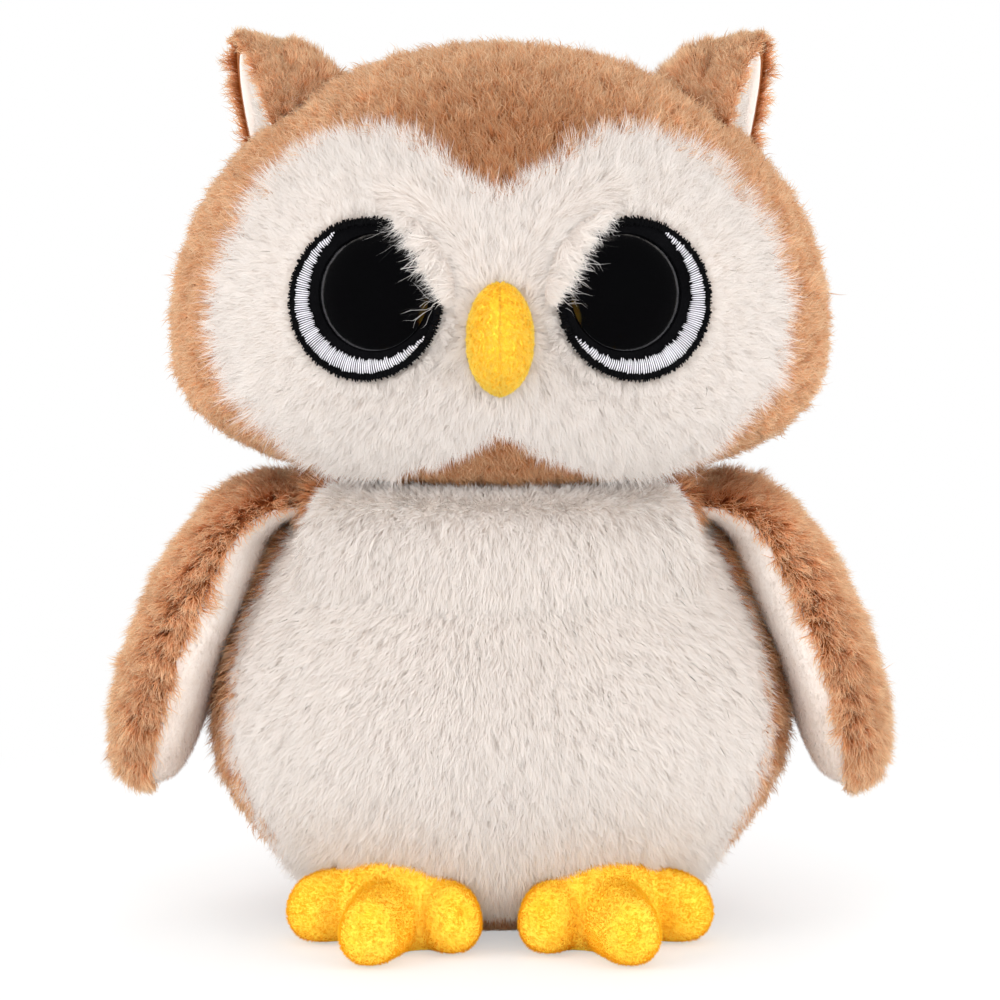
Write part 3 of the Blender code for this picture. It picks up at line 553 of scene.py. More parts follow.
YELLOW_PILE = fur_material(
    "yellow_pile", (255, 208, 52), (255, 232, 92), (255, 244, 138), (0.98, 0.88, 0.70), 0.25
)
FOOT_PILE = fur_material(
    "foot_pile", (252, 182, 30), (254, 208, 50), (255, 227, 84), (0.98, 0.88, 0.70), 0.25
)
HAIR_GREY = fur_material(
    "stray_hair", (196, 192, 190), (222, 219, 217), (236, 234, 233), (0.8, 0.8, 0.8)
)
GLOSS_BLACK, _ = new_material("eye_plastic", linear((3, 3, 4)), 0.12, 0.0, 0.5)
BROWN_CLOTH = ("brown_fur", BROWN_SKIN)
WHITE_CLOTH = ("white_fur", WHITE_SKIN)
LINING_CLOTH = ("white_minky", WHITE_MINKY)
FIBRE_CLOTH = ("fibre_filling", FIBRE)


# Fur
LONG = np.array((0.0, 0.40, 0.74, 1.0))
MEDIUM = np.array((0.0, 0.55, 1.0))
STUBBLE = np.array((0.0, 1.0))
FLOOR_GAP = 0.0004
MIDDLE_TONE = 0.62
TINT_MARGIN = 0.01
TINT_STRIP = 0.02
PLAIN_COAT = {
    "knots": MEDIUM,
    "lift": 62,
    "lay": 25,
    "tuft": 0.0016,
    "tuft_swing": 14,
    "stray": 14,
    "tuft_rise": 7,
    "sink": 0.0018,
    "gather": 0.35,
    "wave": 0.0004,
    "width": 0.00024,
    "tuft_tone": 0.10,
    "mottle": 0.24,
    "shade": 0.0,
    "rough": 0.12,
}
BROWN_COAT = PLAIN_COAT | {
    "slot": "brown_fur",
    "material": BROWN_FUR,
    "knots": LONG,
    "length": 0.0088,
    "lift": 70,
    "lay": 26,
    "tuft": 0.0015,
    "tuft_swing": 26,
    "stray": 24,
    "tuft_rise": 12,
    "gather": 0.27,
    "wave": 0.0013,
    "width": 0.00025,
    "sink": 0.0004,
    "mottle": 0.22,
    "tuft_tone": 0.13,
}
WHITE_COAT = PLAIN_COAT | {
    "slot": "white_fur",
    "material": WHITE_FUR,
    "lay": 30,
    "tuft": 0.0012,
    "stray": 20,
    "gather": 0.14,
    "width": 0.00019,
    "sink": 0.0003,
    "wave": 0.0006,
    "rough": 0.05,
}
BELLY_COAT = WHITE_COAT | {
    "lift": 52,
    "tuft": 0.0009,
    "stray": 16,
    "gather": 0.06,
    "width": 0.00024,
}
PILE_COAT = PLAIN_COAT | {
    "knots": STUBBLE,
    "length": 0.0011,
    "tuft": 0.0007,
    "sink": 0.0001,
    "width": 0.00017,
    "wave": 0.0,
    "gather": 0.25,
    "rough": 0.20,
}


def scatter(surface, count, density=None):
    """Places and normals at random on a surface, more of them where density is greater."""
    points, normals, triangles = surface
    corners = points[triangles]
    sizes = lengths_of(np.cross(corners[:, 1] - corners[:, 0], corners[:, 2] - corners[:, 0]))[:, 0]
    if density is not None:
        sizes = sizes * density(corners.mean(axis=1))
    chosen = rng.choice(len(triangles), count, p=sizes / sizes.sum())
    u, v = rng.random((2, count))
    over = u + v > 1
    u[over], v[over] = 1 - u[over], 1 - v[over]
    shares = np.stack((1 - u - v, u, v), axis=1)[:, :, None]
    places = (points[triangles[chosen]] * shares).sum(axis=1)
    return places, unit((normals[triangles[chosen]] * shares).sum(axis=1))


def finder(points):
    tree = KDTree(len(points))
    for index, point in enumerate(points):
        tree.insert(point, index)
    tree.balance()
    return tree


def tufts(roots, radius):
    """For each strand, the strand at the middle of its tuft."""
    tree = finder(roots)
    owner = np.full(len(roots), -1)
    for index in rng.permutation(len(roots)):
        if owner[index] < 0:
            for _, found, _ in tree.find_range(roots[index], radius):
                if owner[found] < 0:
                    owner[found] = index
    return owner


def ribbons(name, path, places, normals, width, tone, rough, material):
    """A mesh of tapered ribbons along paths, with a point at the end of each. The light falls on
    them as on a skin with these normals, a little rougher."""
    count, knots = path.shape[:2]
    along = unit(path[:, 1] - path[:, 0])
    twist = rng.normal(0, 0.6, count)[:, None]
    across = unit(np.cross(along, normals))
    across = unit(across * np.cos(twist) + normals * np.sin(twist))
    widths = width[:, None] * (1 - 0.45 * places[None, :-1] ** 1.5) / 2
    offsets = across[:, None] * widths[:, :, None]
    edges = np.stack((path[:, :-1] - offsets, path[:, :-1] + offsets), axis=2)
    points = np.concatenate((edges.reshape(count, -1, 3), path[:, -1:]), axis=1)
    size = points.shape[1]
    pattern, starts = [], []
    for row in range(0, size - 3, 2):
        starts.append(len(pattern))
        pattern.extend((row, row + 1, row + 3, row + 2))
    starts.append(len(pattern))
    pattern.extend((size - 3, size - 2, size - 1))
    order = np.arange(count)[:, None]
    corners = (order * size + np.array(pattern)).ravel()
    firsts = (order * len(pattern) + np.array(starts)).ravel()
    mesh = bpy.data.meshes.new(name)
    mesh.vertices.add(count * size)
    mesh.vertices.foreach_set("co", points.astype(np.float32).ravel())
    mesh.loops.add(len(corners))
    mesh.loops.foreach_set("vertex_index", corners.astype(np.int32))
    mesh.polygons.add(len(firsts))
    mesh.polygons.foreach_set("loop_start", firsts.astype(np.int32))
    mesh.update(calc_edges=True)
    spread = 1 - 2 * TINT_MARGIN
    low = TINT_MARGIN + tone * (spread - TINT_STRIP)
    u = low[:, None] + TINT_STRIP * np.append(np.tile((0, 1), knots - 1), 0.5)
    v = np.append(np.repeat(places[:-1], 2), 1.0) * spread + TINT_MARGIN
    uv = np.stack((u, np.broadcast_to(v, u.shape)), axis=2).reshape(-1, 2)[corners]
    mesh.uv_layers.new(name="OFBake").data.foreach_set("uv", uv.astype(np.float32).ravel())
    mesh.shade_smooth()
    leaning = unit(path[:, -1] - path[:, 0])
    facing = unit(np.cross(along, across))
    facing = facing * np.sign((facing * normals).sum(axis=1, keepdims=True))
    soft = normals * 0.70 + facing * 0.45 + leaning * 0.15
    soft = unit(soft + rng.normal(0, rough, (count, 3)))
    shades = np.repeat(soft, size, axis=0).astype(np.float32)
    mesh.normals_split_custom_set_from_vertices(shades)
    mesh.materials.append(material)
    return placed(name, mesh)


def grow_fur(name, body, grown, comb, coat, **changes):
    """Ribbons that rise from places with normals, lie down along the comb and gather in tufts."""
    style = coat | changes
    places, normals = grown
    count, knots = len(places), style["knots"]
    lift, lay = np.radians(style["lift"]), np.radians(style["lay"])
    owner = tufts(places, style["tuft"])
    flow = unit(comb - normals * (comb * normals).sum(axis=1, keepdims=True))
    side = np.cross(normals, flow)
    swing = rng.normal(0, np.radians(style["tuft_swing"]), count)[owner]
    swing = (swing + rng.normal(0, np.radians(style["stray"]), count))[:, None]
    flow, side = (
        flow * np.cos(swing) + side * np.sin(swing),
        side * np.cos(swing) - flow * np.sin(swing),
    )
    length = style["length"] * rng.normal(1, 0.10, count)[owner] * rng.uniform(0.72, 1.15, count)
    rise = rng.normal(0, np.radians(style["tuft_rise"]), count)[owner]
    rise = rise + rng.normal(0, np.radians(9), count)
    path = [places - normals * style["sink"]]
    for start, end in zip(knots, knots[1:]):
        middle = (start + end) / 2
        angle = (lift + (lay - lift) * middle**0.8 + rise * middle)[:, None]
        step = flow * np.cos(angle) + normals * np.sin(angle)
        path.append(path[-1] + step * (length * (end - start))[:, None])
    path = np.stack(path, axis=1)
    gather = style["gather"] * knots**1.4
    path = path + (path[owner] - path) * gather[None, :, None]
    phase = rng.uniform(0, math.tau, count)
    turned = phase[:, None] + knots[None] * rng.uniform(3.5, 6.5, count)[:, None]
    size = knots[None] * style["wave"]
    path = path + side[:, None] * (np.sin(turned) * size)[:, :, None]
    path = path + normals[:, None] * (np.cos(turned) * size * 0.5)[:, :, None]
    path[:, :, 2] = np.maximum(path[:, :, 2], FLOOR_GAP)
    width = style["width"] * rng.uniform(0.65, 1.3, count)
    # The coat's shade moves strands darker by place, and lighter where it is below 0; for the ears, chin,
    # lower head and wings this is painted shade and painted light.
    tone = rng.normal(0, style["tuft_tone"], count)[owner] + MIDDLE_TONE - style["shade"]
    tone = np.clip(tone + rng.normal(0, style["mottle"], count), 0, 1)
    shine = style.get("shine", normals)
    fur = ribbons(name, path, knots, shine, width, tone, style["rough"], style["material"])
    dress(fur, body, style["slot"])


def distance_to(targets, points):
    """How far each point is from the nearest of some others."""
    tree = finder(targets)
    return np.array([tree.find(point)[2] for point in points])


def away_from(points, x, z, power=2.0):
    """Directions in the plane of the face that run away from a place, strongest beside it."""
    apart = points * (1.0, 0.0, 1.0) - np.array((x, 0.0, z))
    return apart / np.maximum(lengths_of(apart), 0.002) ** power


BROW_TURN = math.radians(140)
BROW_FAR = 0.034
BROW_NEAR = 0.025


def over_brow(points, side):
    """1 beside the inner top of an eye, where the face's fur lies over its edge, and 0 elsewhere."""
    x = (points[:, 0] - side * EYE_SPREAD) * side
    z = points[:, 2] - EYE_HEIGHT
    near = smoothstep(np.hypot(x, z), BROW_FAR, BROW_NEAR)
    return near * smoothstep(np.cos(np.arctan2(z, x) - BROW_TURN), 0.60, 0.88)


def comb_face(points):
    flow = 0.6 * away_from(points, 0.0, BEAK_HEIGHT)
    for _, side in SIDES:
        over = over_brow(points, side)[:, None]
        flow = flow + away_from(points, side * EYE_SPREAD, EYE_HEIGHT) * (1 - 2 * over)
    return unit(flow)


def comb_crown(points):
    """Away from the face in front, over the crown, and down at the back."""
    x, y, z = points.T
    front = np.stack((x, np.full_like(x, 0.035), z - BEAK_HEIGHT - 0.004), axis=1)
    back = np.stack((x * 0.35, np.full_like(x, 0.012), np.full_like(x, -0.06)), axis=1)
    share = smoothstep(y, -0.012, 0.045)[:, None]
    return unit(unit(front) * (1 - share) + unit(back) * share)


def comb_down(points, spread):
    x, y, _ = points.T
    return unit(np.stack((x * spread, y * spread, np.full_like(x, -0.05)), axis=1))


PATCH_OVERLAP = 0.0004
BEAK_COVER_SHARE = 0.80


def open_face(points):
    """Nothing grows under an eye patch or the beak."""
    across, down = points[:, 0] / (BEAK_WIDTH / 2), (points[:, 2] - BEAK_HEIGHT) / (BEAK_LENGTH / 2)
    clear = np.hypot(across, down) > BEAK_COVER_SHARE
    for _, side in SIDES:
        apart = np.hypot(points[:, 0] - side * EYE_SPREAD, points[:, 2] - EYE_HEIGHT)
        clear = clear & (apart > PATCH_RADIUS - PATCH_OVERLAP)
    return clear


def eye_axes(side):
    """An eye's middle on the face, the way it looks, and the ways outwards and up across it."""
    centre, normal = (values[0] for values in on_face(side * EYE_SPREAD, EYE_HEIGHT))
    outward = unit(np.cross(normal, (0.0, 0.0, 1.0)))
    outward = outward * side * np.sign(outward[0])
    up = np.cross(outward, normal)
    return centre, normal, outward, up * np.sign(up[2])


def eye_points(side, radius, angle, above):
    """Places round an eye's middle, by angle from outwards towards up, set on the face."""
    centre, _, outward, up = eye_axes(side)
    radius, angle = np.broadcast_arrays(radius, angle)
    flat = centre + np.outer(radius * np.cos(angle), outward) + np.outer(radius * np.sin(angle), up)
    return on_face(flat[:, 0], flat[:, 2], above)


# Skins
skins = {}
for word, _ in SIDES:
    for part, form, body, cloth in (
        ("head", HEAD_FORM, "head", BROWN_CLOTH),
        ("face", HEAD_FORM, "head", WHITE_CLOTH),
        ("body", BODY_FORM, "body", BROWN_CLOTH),
    ):
        skins[f"{part}_{word}"] = smooth_skin(f"{part}_{word}_panel", form, body, cloth)
smooth_skin("head_stuffing", HEAD_FORM, "head", FIBRE_CLOTH, rounds=1)
smooth_skin("body_stuffing", BODY_FORM, "body", FIBRE_CLOTH, rounds=1)
skins["chin"] = smooth_skin("chin_panel", HEAD_FORM, "head", BROWN_CLOTH)
skins["belly"] = smooth_skin("belly_panel", BODY_FORM, "body", WHITE_CLOTH)
smooth_skin("base_panel", BODY_FORM, "body", BROWN_CLOTH)


# Fur of the head and the body
FACE_STRANDS = 65000
FACE_FUR = 0.0048
FACE_FUR_RISE = 0.0026
FACE_FUR_REACH = 0.014
FRINGE_REACH = (0.0065, 0.0010)
FRINGE_FUR = 0.0042
HEAD_PARTS = (
    ("front", -1.0, -0.018, 39000, 0.00025),
    ("side", -0.018, 0.020, 39000, 0.00025),
    ("back", 0.020, 1.0, 34000, 0.00033),
)
NOTCH_HEIGHT = HEAD_WIDEST_HEIGHT + 0.046
NOTCH_HALF_WIDTH = 0.045
NOTCH_HALF_HEIGHT = 0.026
BODY_STRANDS = 39000
BODY_FUR = 0.0036
BODY_FUR_RISE = 0.0040
SHOULDER_FUR_RISE = 0.0030
BASE_TOP = 0.0085
BELLY_PARTS = (("lower", BASE_TOP, 0.058), ("upper", 0.058, 1.0))
BELLY_STRANDS = 52000
BELLY_FUR = 0.0072
BELLY_FUR_OVER_FEET = 0.0016
BELLY_FUR_CUT_AT_BASE = 0.0022
EYE_RIM_STRANDS = 4400
CHIN_STRANDS = 12000
CHIN_FUR = 0.0056
BASE_STRANDS = 9000
BASE_FUR = 0.0038

for word, side in SIDES:
    places, normals = scatter(skins[f"face_{word}"], FACE_STRANDS, open_face)
    near_eye = np.hypot(places[:, 0] - side * EYE_SPREAD, places[:, 2] - EYE_HEIGHT)
    away = smoothstep(near_eye, PATCH_RADIUS, PATCH_RADIUS + FACE_FUR_REACH)
    edge = smoothstep(distance_to(skins[f"head_{word}"][0], places), *FRINGE_REACH)
    edge = edge * rng.uniform(0.0, 1.0, FACE_STRANDS)
    edge = np.maximum(edge, 0.3 * over_brow(places, side))
    grow_fur(
        f"face_{word}_fur", "head", (places, normals), comb_face(places), WHITE_COAT,
        length=FACE_FUR + FACE_FUR_RISE * away + FRINGE_FUR * edge, lay=30 - 12 * edge,
    )
    for part, low, high, count, width in HEAD_PARTS:
        places, normals = scatter(
            skins[f"head_{word}"], count, lambda at: (at[:, 1] > low) & (at[:, 1] <= high)
        )
        above = smoothstep(places[:, 2], HEAD_WIDEST_HEIGHT - HEAD_JOWL, HEAD_WIDEST_HEIGHT - 0.010)
        length = BROWN_COAT["length"] * (0.35 + 0.45 * above) * rng.uniform(0.9, 1.0, count)
        length = length * np.where(rng.random(count) < 0.10, 1.25, 1.0)
        notch = np.hypot(
            places[:, 0] / NOTCH_HALF_WIDTH, (places[:, 2] - NOTCH_HEIGHT) / NOTCH_HALF_HEIGHT
        )
        # Strands are darker in the notch over the face, and darker low on the head as painted shade under
        # its widest part.
        grow_fur(
            f"head_{word}_{part}_fur", "head", (places, normals), comb_crown(places), BROWN_COAT,
            length=length, width=width,
            shade=0.62 * smoothstep(notch, 1.1, 0.3) + 0.22 * smoothstep(above, 0.5, 0.0),
        )
    places, normals = scatter(skins[f"body_{word}"], BODY_STRANDS)
    low = smoothstep(places[:, 2], 0.0, 0.045)
    shoulder = smoothstep(places[:, 2], 0.084, 0.098)
    grow_fur(
        f"body_{word}_fur", "body", (places, normals), comb_down(places, 0.3), BROWN_COAT,
        length=BODY_FUR + BODY_FUR_RISE * low + SHOULDER_FUR_RISE * shoulder, width=0.00031,
        shade=0.10,
    )
    for part, low, high in BELLY_PARTS:
        places, normals = scatter(
            skins["belly"], BELLY_STRANDS,
            lambda at: (at[:, 0] * side > 0) & (at[:, 2] > low) & (at[:, 2] <= high),
        )
        height = places[:, 2]
        foot = smoothstep(height, 0.034, 0.019) * smoothstep(height, 0.008, 0.016)
        cut = BELLY_FUR_CUT_AT_BASE * smoothstep(height, 0.016, BASE_TOP)
        grow_fur(
            f"belly_{word}_{part}_fur", "body", (places, normals),
            comb_down(places * (1, 0, 1), 0.7), BELLY_COAT,
            length=BELLY_FUR + BELLY_FUR_OVER_FEET * foot - cut, lay=20 + 26 * foot,
        )
    turns = rng.uniform(math.radians(-170), math.radians(92), EYE_RIM_STRANDS)
    radius = rng.uniform(PATCH_RADIUS, PATCH_RADIUS + 0.0028, EYE_RIM_STRANDS)
    places, normals = eye_points(side, radius, turns, 0.0)
    grow_fur(
        f"eye_{word}_rim_fur", "head", (places, normals), places - eye_axes(side)[0], WHITE_COAT,
        length=0.0052, lift=82, lay=40, sink=0.0025,
    )
places, normals = scatter(skins["chin"], CHIN_STRANDS)
# The chin's fur, under the head, is darkened as painted shade.
grow_fur(
    "chin_fur", "head", (places, normals), comb_down(places * (1, 0, 1), 0.5), BROWN_COAT,
    length=CHIN_FUR, shade=0.55,
)
places, normals = scatter(skins["belly"], BASE_STRANDS, lambda at: at[:, 2] < BASE_TOP + 0.001)
grow_fur(
    "base_rim_fur", "body", (places, normals), comb_down(places, 0.3), BROWN_COAT,
    length=BASE_FUR, lay=30,
)


# Neck: the top of the belly swells into a collar in front, and a smaller roll goes round behind
NECK_RADIUS = 0.034
NECK_HEIGHT = BODY_HEIGHT + 0.0013
COLLAR_SHARES = (
    (0.812, 0.765),
    (0.826, 0.802),
    (0.838, 0.844),
    (0.842, 0.888),
    (0.842, 0.936),
    (0.832, 0.982),
    (0.800, 1.022),
    (0.745, 1.046),
    (0.665, 1.044),
    (0.605, 0.998),
    (0.600, 0.930),
)
COLLAR_REACH = math.radians(64)
COLLAR_TAPER = math.radians(16)
COLLAR_BED_SHARE = 0.03
COLLAR_STRANDS = 60000
ROLL_RADIUS = 0.0058
ROLL_HEIGHT = BODY_HEIGHT - 0.0016
ROLL_SHARE = 0.640
ROLL_OVERLAP = 0.12
ROLL_STRANDS = 26000
NECK_FUR = 0.0074
FRONT = -math.pi / 2


def rim_points(turn, share, height):
    """Places round the body at one angle, at shares of its widest ring and at heights."""
    share, height = np.broadcast_arrays(np.atleast_1d(share), height)
    depth = BODY_BACK if math.sin(turn) > 0 else BODY_FRONT
    x, y = BODY_WIDTH / 2 * share * math.cos(turn), depth * share * math.sin(turn)
    return np.stack((x, y, height), axis=1)


def collar_ring(turn):
    """The collar's section at an angle, which sinks into the body towards its ends."""
    share, height = np.array(COLLAR_SHARES).T
    full = smoothstep(COLLAR_REACH - abs(turn - FRONT), 0.0, COLLAR_TAPER)
    within = np.minimum(height, 1.0)
    inside = eased(BODY_PROFILE_SHARES, within) - COLLAR_BED_SHARE
    height = within + (height - within) * full
    return rim_points(turn, inside + (share - inside) * full, height * BODY_HEIGHT)


def roll_ring(turn):
    around = np.linspace(0, math.tau, 16, endpoint=False)
    share = ROLL_SHARE + ROLL_RADIUS / (BODY_WIDTH / 2) * np.cos(around)
    return rim_points(turn, share, ROLL_HEIGHT - ROLL_RADIUS * np.sin(around))


def rounded(ring, rounds=2):
    """A closed ring of points with each corner cut, round after round."""
    for _ in range(rounds):
        ahead = np.roll(ring, -1, axis=0)
        cut = np.stack((0.75 * ring + 0.25 * ahead, 0.25 * ring + 0.75 * ahead), axis=1)
        ring = cut.reshape(-1, 3)
    return ring


def neck_piece(name, cloth, section, turns, count, coat, crop):
    """A length of the collar or roll, and the fur that stands on it, cropped at the top."""
    slot, material = cloth
    rows = [rounded(section(turn)) for turn in turns]
    points, faces = tube(rows)
    roll = mesh_piece(name, points, faces, material)
    dress(roll, "body", slot)
    middle = np.repeat([row.mean(axis=0) for row in rows], len(rows[0]), axis=0)
    outward = unit(points[: len(middle)] - middle)
    outward = np.concatenate((outward, np.zeros((2, 3))))
    normals, triangles = vertex_normals(roll), triangles_of(roll)
    normals = normals * np.sign((normals * outward).sum(axis=1).sum())
    facing = normals[triangles].mean(axis=1)
    away = unit(points[triangles].mean(axis=1) * (1, 1, 0))
    showing = (facing[:, 2] > 0.1) | ((facing * away).sum(axis=1) > 0.2)
    places, normals = scatter((points, normals, triangles[showing]), count)
    upward = smoothstep(normals[:, 2], 0.10, 0.75)
    outward = unit(places * (1, 1, 0))
    high = smoothstep(places[:, 2], 0.088, 0.100)
    grow_fur(
        f"{name}_fur", "body", (places, normals), outward * 0.5 - np.array((0, 0, 1.0)), coat,
        length=NECK_FUR * (0.45 + 0.55 * high) * (1 - crop * upward),
        lift=54 + 20 * upward, lay=20 + 12 * upward,
        shine=unit(normals * (1, 1, 0.3) + outward * 0.8),
    )


turns = np.linspace(FRONT - COLLAR_REACH, FRONT + COLLAR_REACH, 90)
neck_piece("white_collar", WHITE_CLOTH, collar_ring, turns, COLLAR_STRANDS, BELLY_COAT, 0.35)
ends = (FRONT + COLLAR_REACH - ROLL_OVERLAP, FRONT - COLLAR_REACH + math.tau + ROLL_OVERLAP)
neck_piece(
    "brown_neck_roll", BROWN_CLOTH, roll_ring, np.linspace(*ends, 120), ROLL_STRANDS,
    BROWN_COAT | {"knots": MEDIUM}, -0.20,
)
turns = np.linspace(0, math.tau, 96, endpoint=False)
rows = []
for angle in np.radians(np.linspace(-86, 86, 40)):
    radius, height = NECK_RADIUS * math.cos(angle), NECK_HEIGHT + NECK_RADIUS * math.sin(angle)
    rows.append(np.stack((radius * np.cos(turns), radius * np.sin(turns), turns * 0 + height), axis=1))
neck = mesh_piece("neck_filling", *tube(rows), FIBRE)
dress(neck, "neck", "fibre_filling", "neck_stuffing")


# Wings
WING_STEPS = 48
WING_SHOWN = 0.965
WING_ROOT_SHARES = ((-0.05, 0.50, 0.02), (-0.025, 0.57, 0.26))
WING_TIP_SHARES = (1.0, 0.03, 0.04)
CLOTH_THICKNESS = 0.0009
WING_PARTS = (("lower", 0.0, 0.077), ("upper", 0.077, 1.0))
WING_STRANDS = 30000
WING_FUR = 0.0086
WING_TOP_FUR_CUT = 0.0014
LINING_STRANDS = 26000


def wing_spine(side):
    """The middle line of a hanging wing, as in the part's source, as many points."""
    height = BODY_HEIGHT * WING_SEAM_SHARE
    width = BODY_WIDTH / 2
    step = 0.0001
    here = np.array((width * eased(BODY_PROFILE_SHARES, WING_SEAM_SHARE), height))
    share = WING_SEAM_SHARE + step / BODY_HEIGHT
    above = np.array((width * eased(BODY_PROFILE_SHARES, share), height + step))
    along = (above - here) / np.linalg.norm(above - here)
    hinge = here + np.array((along[1], -along[0])) * (WING_ROOT_RADIUS + 2 * GAP)
    knots = [hinge]
    for down, stand_off in WING_SPINE_SHARES:
        z = hinge[1] - WING_DROP * down
        reach = width * eased(BODY_PROFILE_SHARES, z / BODY_HEIGHT)
        knots.append(np.array((reach + WING_THICKNESS / 2 * stand_off, z)))
    knots.append(hinge + np.array((WING_REACH, -WING_DROP)))
    knots = [2 * knots[0] - knots[1], *knots, 2 * knots[-1] - knots[-2]]
    curve = []
    for p0, p1, p2, p3 in zip(knots, knots[1:], knots[2:], knots[3:]):
        for t in np.linspace(0, 1, 12, endpoint=False):
            bend = (2 * p0 - 5 * p1 + 4 * p2 - p3) * t**2 + (3 * p1 - p0 - 3 * p2 + p3) * t**3
            curve.append((2 * p1 + (p2 - p0) * t + bend) / 2)
    curve = np.array([*curve, knots[-2]])
    return np.stack((side * curve[:, 0], np.zeros(len(curve)), curve[:, 1]), axis=1)


def wing_half(side, low, high, inset=0.0):
    """The part of a wing's surface between two angles round its spine, as rows of points."""
    spine = wing_spine(side)
    gone = np.concatenate(((0,), np.cumsum(lengths_of(np.diff(spine, axis=0))[:, 0])))
    sizes = (*WING_ROOT_SHARES, *WING_SIZE_SHARES, WING_TIP_SHARES)

    def spine_at(share):
        place = share * WING_SHOWN * gone[-1]
        return np.array([np.interp(place, gone, spine[:, axis]) for axis in range(3)])

    angles = np.linspace(low, high, WING_STEPS)
    rows = []
    for share in (*np.linspace(-0.05, 0.90, 64), *np.linspace(0.91, 1.0, 18)):
        along = spine_at(min(max(share, 0) + 0.02, 1)) - spine_at(max(share - 0.02, 0))
        along = along / np.linalg.norm(along)
        at = spine_at(max(share, 0)) + along * min(share, 0) * gone[-1]
        out = side * np.array((-along[2], 0.0, along[0]))
        breadth = WING_BREADTH / 2 * max(eased(sizes, share, 1), 0.01)
        breadth = max(breadth - inset * 0.5, 0.3 * breadth)
        depth = WING_THICKNESS / 2 * max(eased(sizes, share, 2), 0.01)
        depth = max(depth - inset, 0.3 * depth)
        y = breadth * signed_power(np.cos(angles), 2 / WING_POWER)
        x = depth * signed_power(np.sin(angles), 2 / WING_POWER)
        rows.append(at + np.outer(y, (0, 1, 0)) + np.outer(x, out))
    return np.array(rows)


for word, side in SIDES:
    wing = f"wing_{word}"
    outer = wing_half(side, 0.0, math.pi, PILE_DEPTH)
    faces = grid_faces(*outer.shape[:2], side < 0)
    panel = mesh_piece(f"{wing}_outer_skin", outer.reshape(-1, 3), faces, BROWN_SKIN)
    surface = surface_of(panel)
    applied(panel, "SOLIDIFY", thickness=CLOTH_THICKNESS, offset=-1.0)
    dress(panel, wing, "brown_fur", f"{wing}_outer_panel")
    inner = wing_half(side, math.pi, math.tau)
    lining = mesh_piece(f"{wing}_lining_skin", inner.reshape(-1, 3), faces, WHITE_MINKY)
    applied(lining, "SOLIDIFY", thickness=CLOTH_THICKNESS, offset=-1.0)
    dress(lining, wing, "white_minky", f"{wing}_lining")
    core = tube(wing_half(side, 0.0, math.tau, PILE_DEPTH + 0.0016)[:, :-1])
    filling = mesh_piece(f"{wing}_filling", *core, FIBRE)
    dress(filling, wing, "fibre_filling", f"{wing}_stuffing")
    for part, low, high in WING_PARTS:
        places, normals = scatter(
            surface, WING_STRANDS, lambda at: (at[:, 2] > low) & (at[:, 2] <= high)
        )
        y, z = places[:, 1], places[:, 2]
        fringe = smoothstep(np.abs(y), 0.016, 0.027)
        comb = np.stack((side * (0.012 - 0.026 * fringe), y * 0.9, y * 0 - 0.05), axis=1)
        top = smoothstep(z, 0.098, 0.112)
        length = WING_FUR * (1 - 0.5 * smoothstep(z, 0.046, 0.033)) - WING_TOP_FUR_CUT * top
        # The wing's strands are lightened as painted light, most at the top where the head shades them,
        # and darker towards the front and back edges.
        grow_fur(
            f"{wing}_{part}_fur", wing, (places, normals), comb, BROWN_COAT,
            length=length, lay=30 + 6 * top, shade=0.10 * fringe - 0.12 - 0.14 * top,
        )
    points, normals, triangles = surface_of(lining)
    facing = normals[triangles].mean(axis=1)[:, 0] * side
    places, normals = scatter((points, normals, triangles[facing < 0.6]), LINING_STRANDS)
    grow_fur(
        f"{wing}_lining_pile", wing, (places, normals), places * 0 + np.array((0, -0.3, -1.0)),
        PILE_COAT, slot="white_minky", material=WHITE_FUR, length=0.0015, lift=55, lay=30,
        tuft=0.0008, gather=0.2,
    )


# Ears
EAR_TIP_OUT = 0.0048
EAR_FOOT_IN = 0.0050
EAR_CUSHION_RADII = (0.0045, 0.0132, 0.0275)
EAR_CUSHION_SINK = 0.0072
EAR_STRANDS = 24000
EAR_FRINGE_STRANDS = 7000
EAR_BASE_STRANDS = 3500
EAR_FLUFF_STRANDS = 13000
EAR_FUR = 0.0078
EAR_FUR_CUT_AT_RIM = 0.0030
EAR_FRINGE_FUR = 0.0048
EAR_FRINGE_RIM = -0.010
EAR_BASE_TALL = 0.010
EAR_BASE_FUR = 0.0050
EAR_FLUFF = 0.0046


def spread_ear(points, side):
    """An ear's points moved out at the tip and in at the foot, to the outline of its fur."""
    foot = HEAD_WIDEST_HEIGHT + HEAD_CROWN * math.sqrt(1 - (2 * EAR_SPREAD / HEAD_WIDTH) ** 2)
    rise = (points[:, 2] - foot) / EAR_TALL
    moved = points.copy()
    moved[:, 0] += side * ((EAR_TIP_OUT + EAR_FOOT_IN) * np.clip(rise, 0, 1.1) - EAR_FOOT_IN)
    return moved


def ear_skin(panel, side, form, body, cloth, **how):
    """A spread panel of an ear, and the surface that fur grows on."""
    points, normals, triangles = smooth_skin(panel, form, body, cloth, inset=0.0, **how)
    skin = bpy.data.objects[panel + "_skin"]
    move_points(skin, spread_ear(points_of(skin), side))
    return spread_ear(points, side), normals, triangles


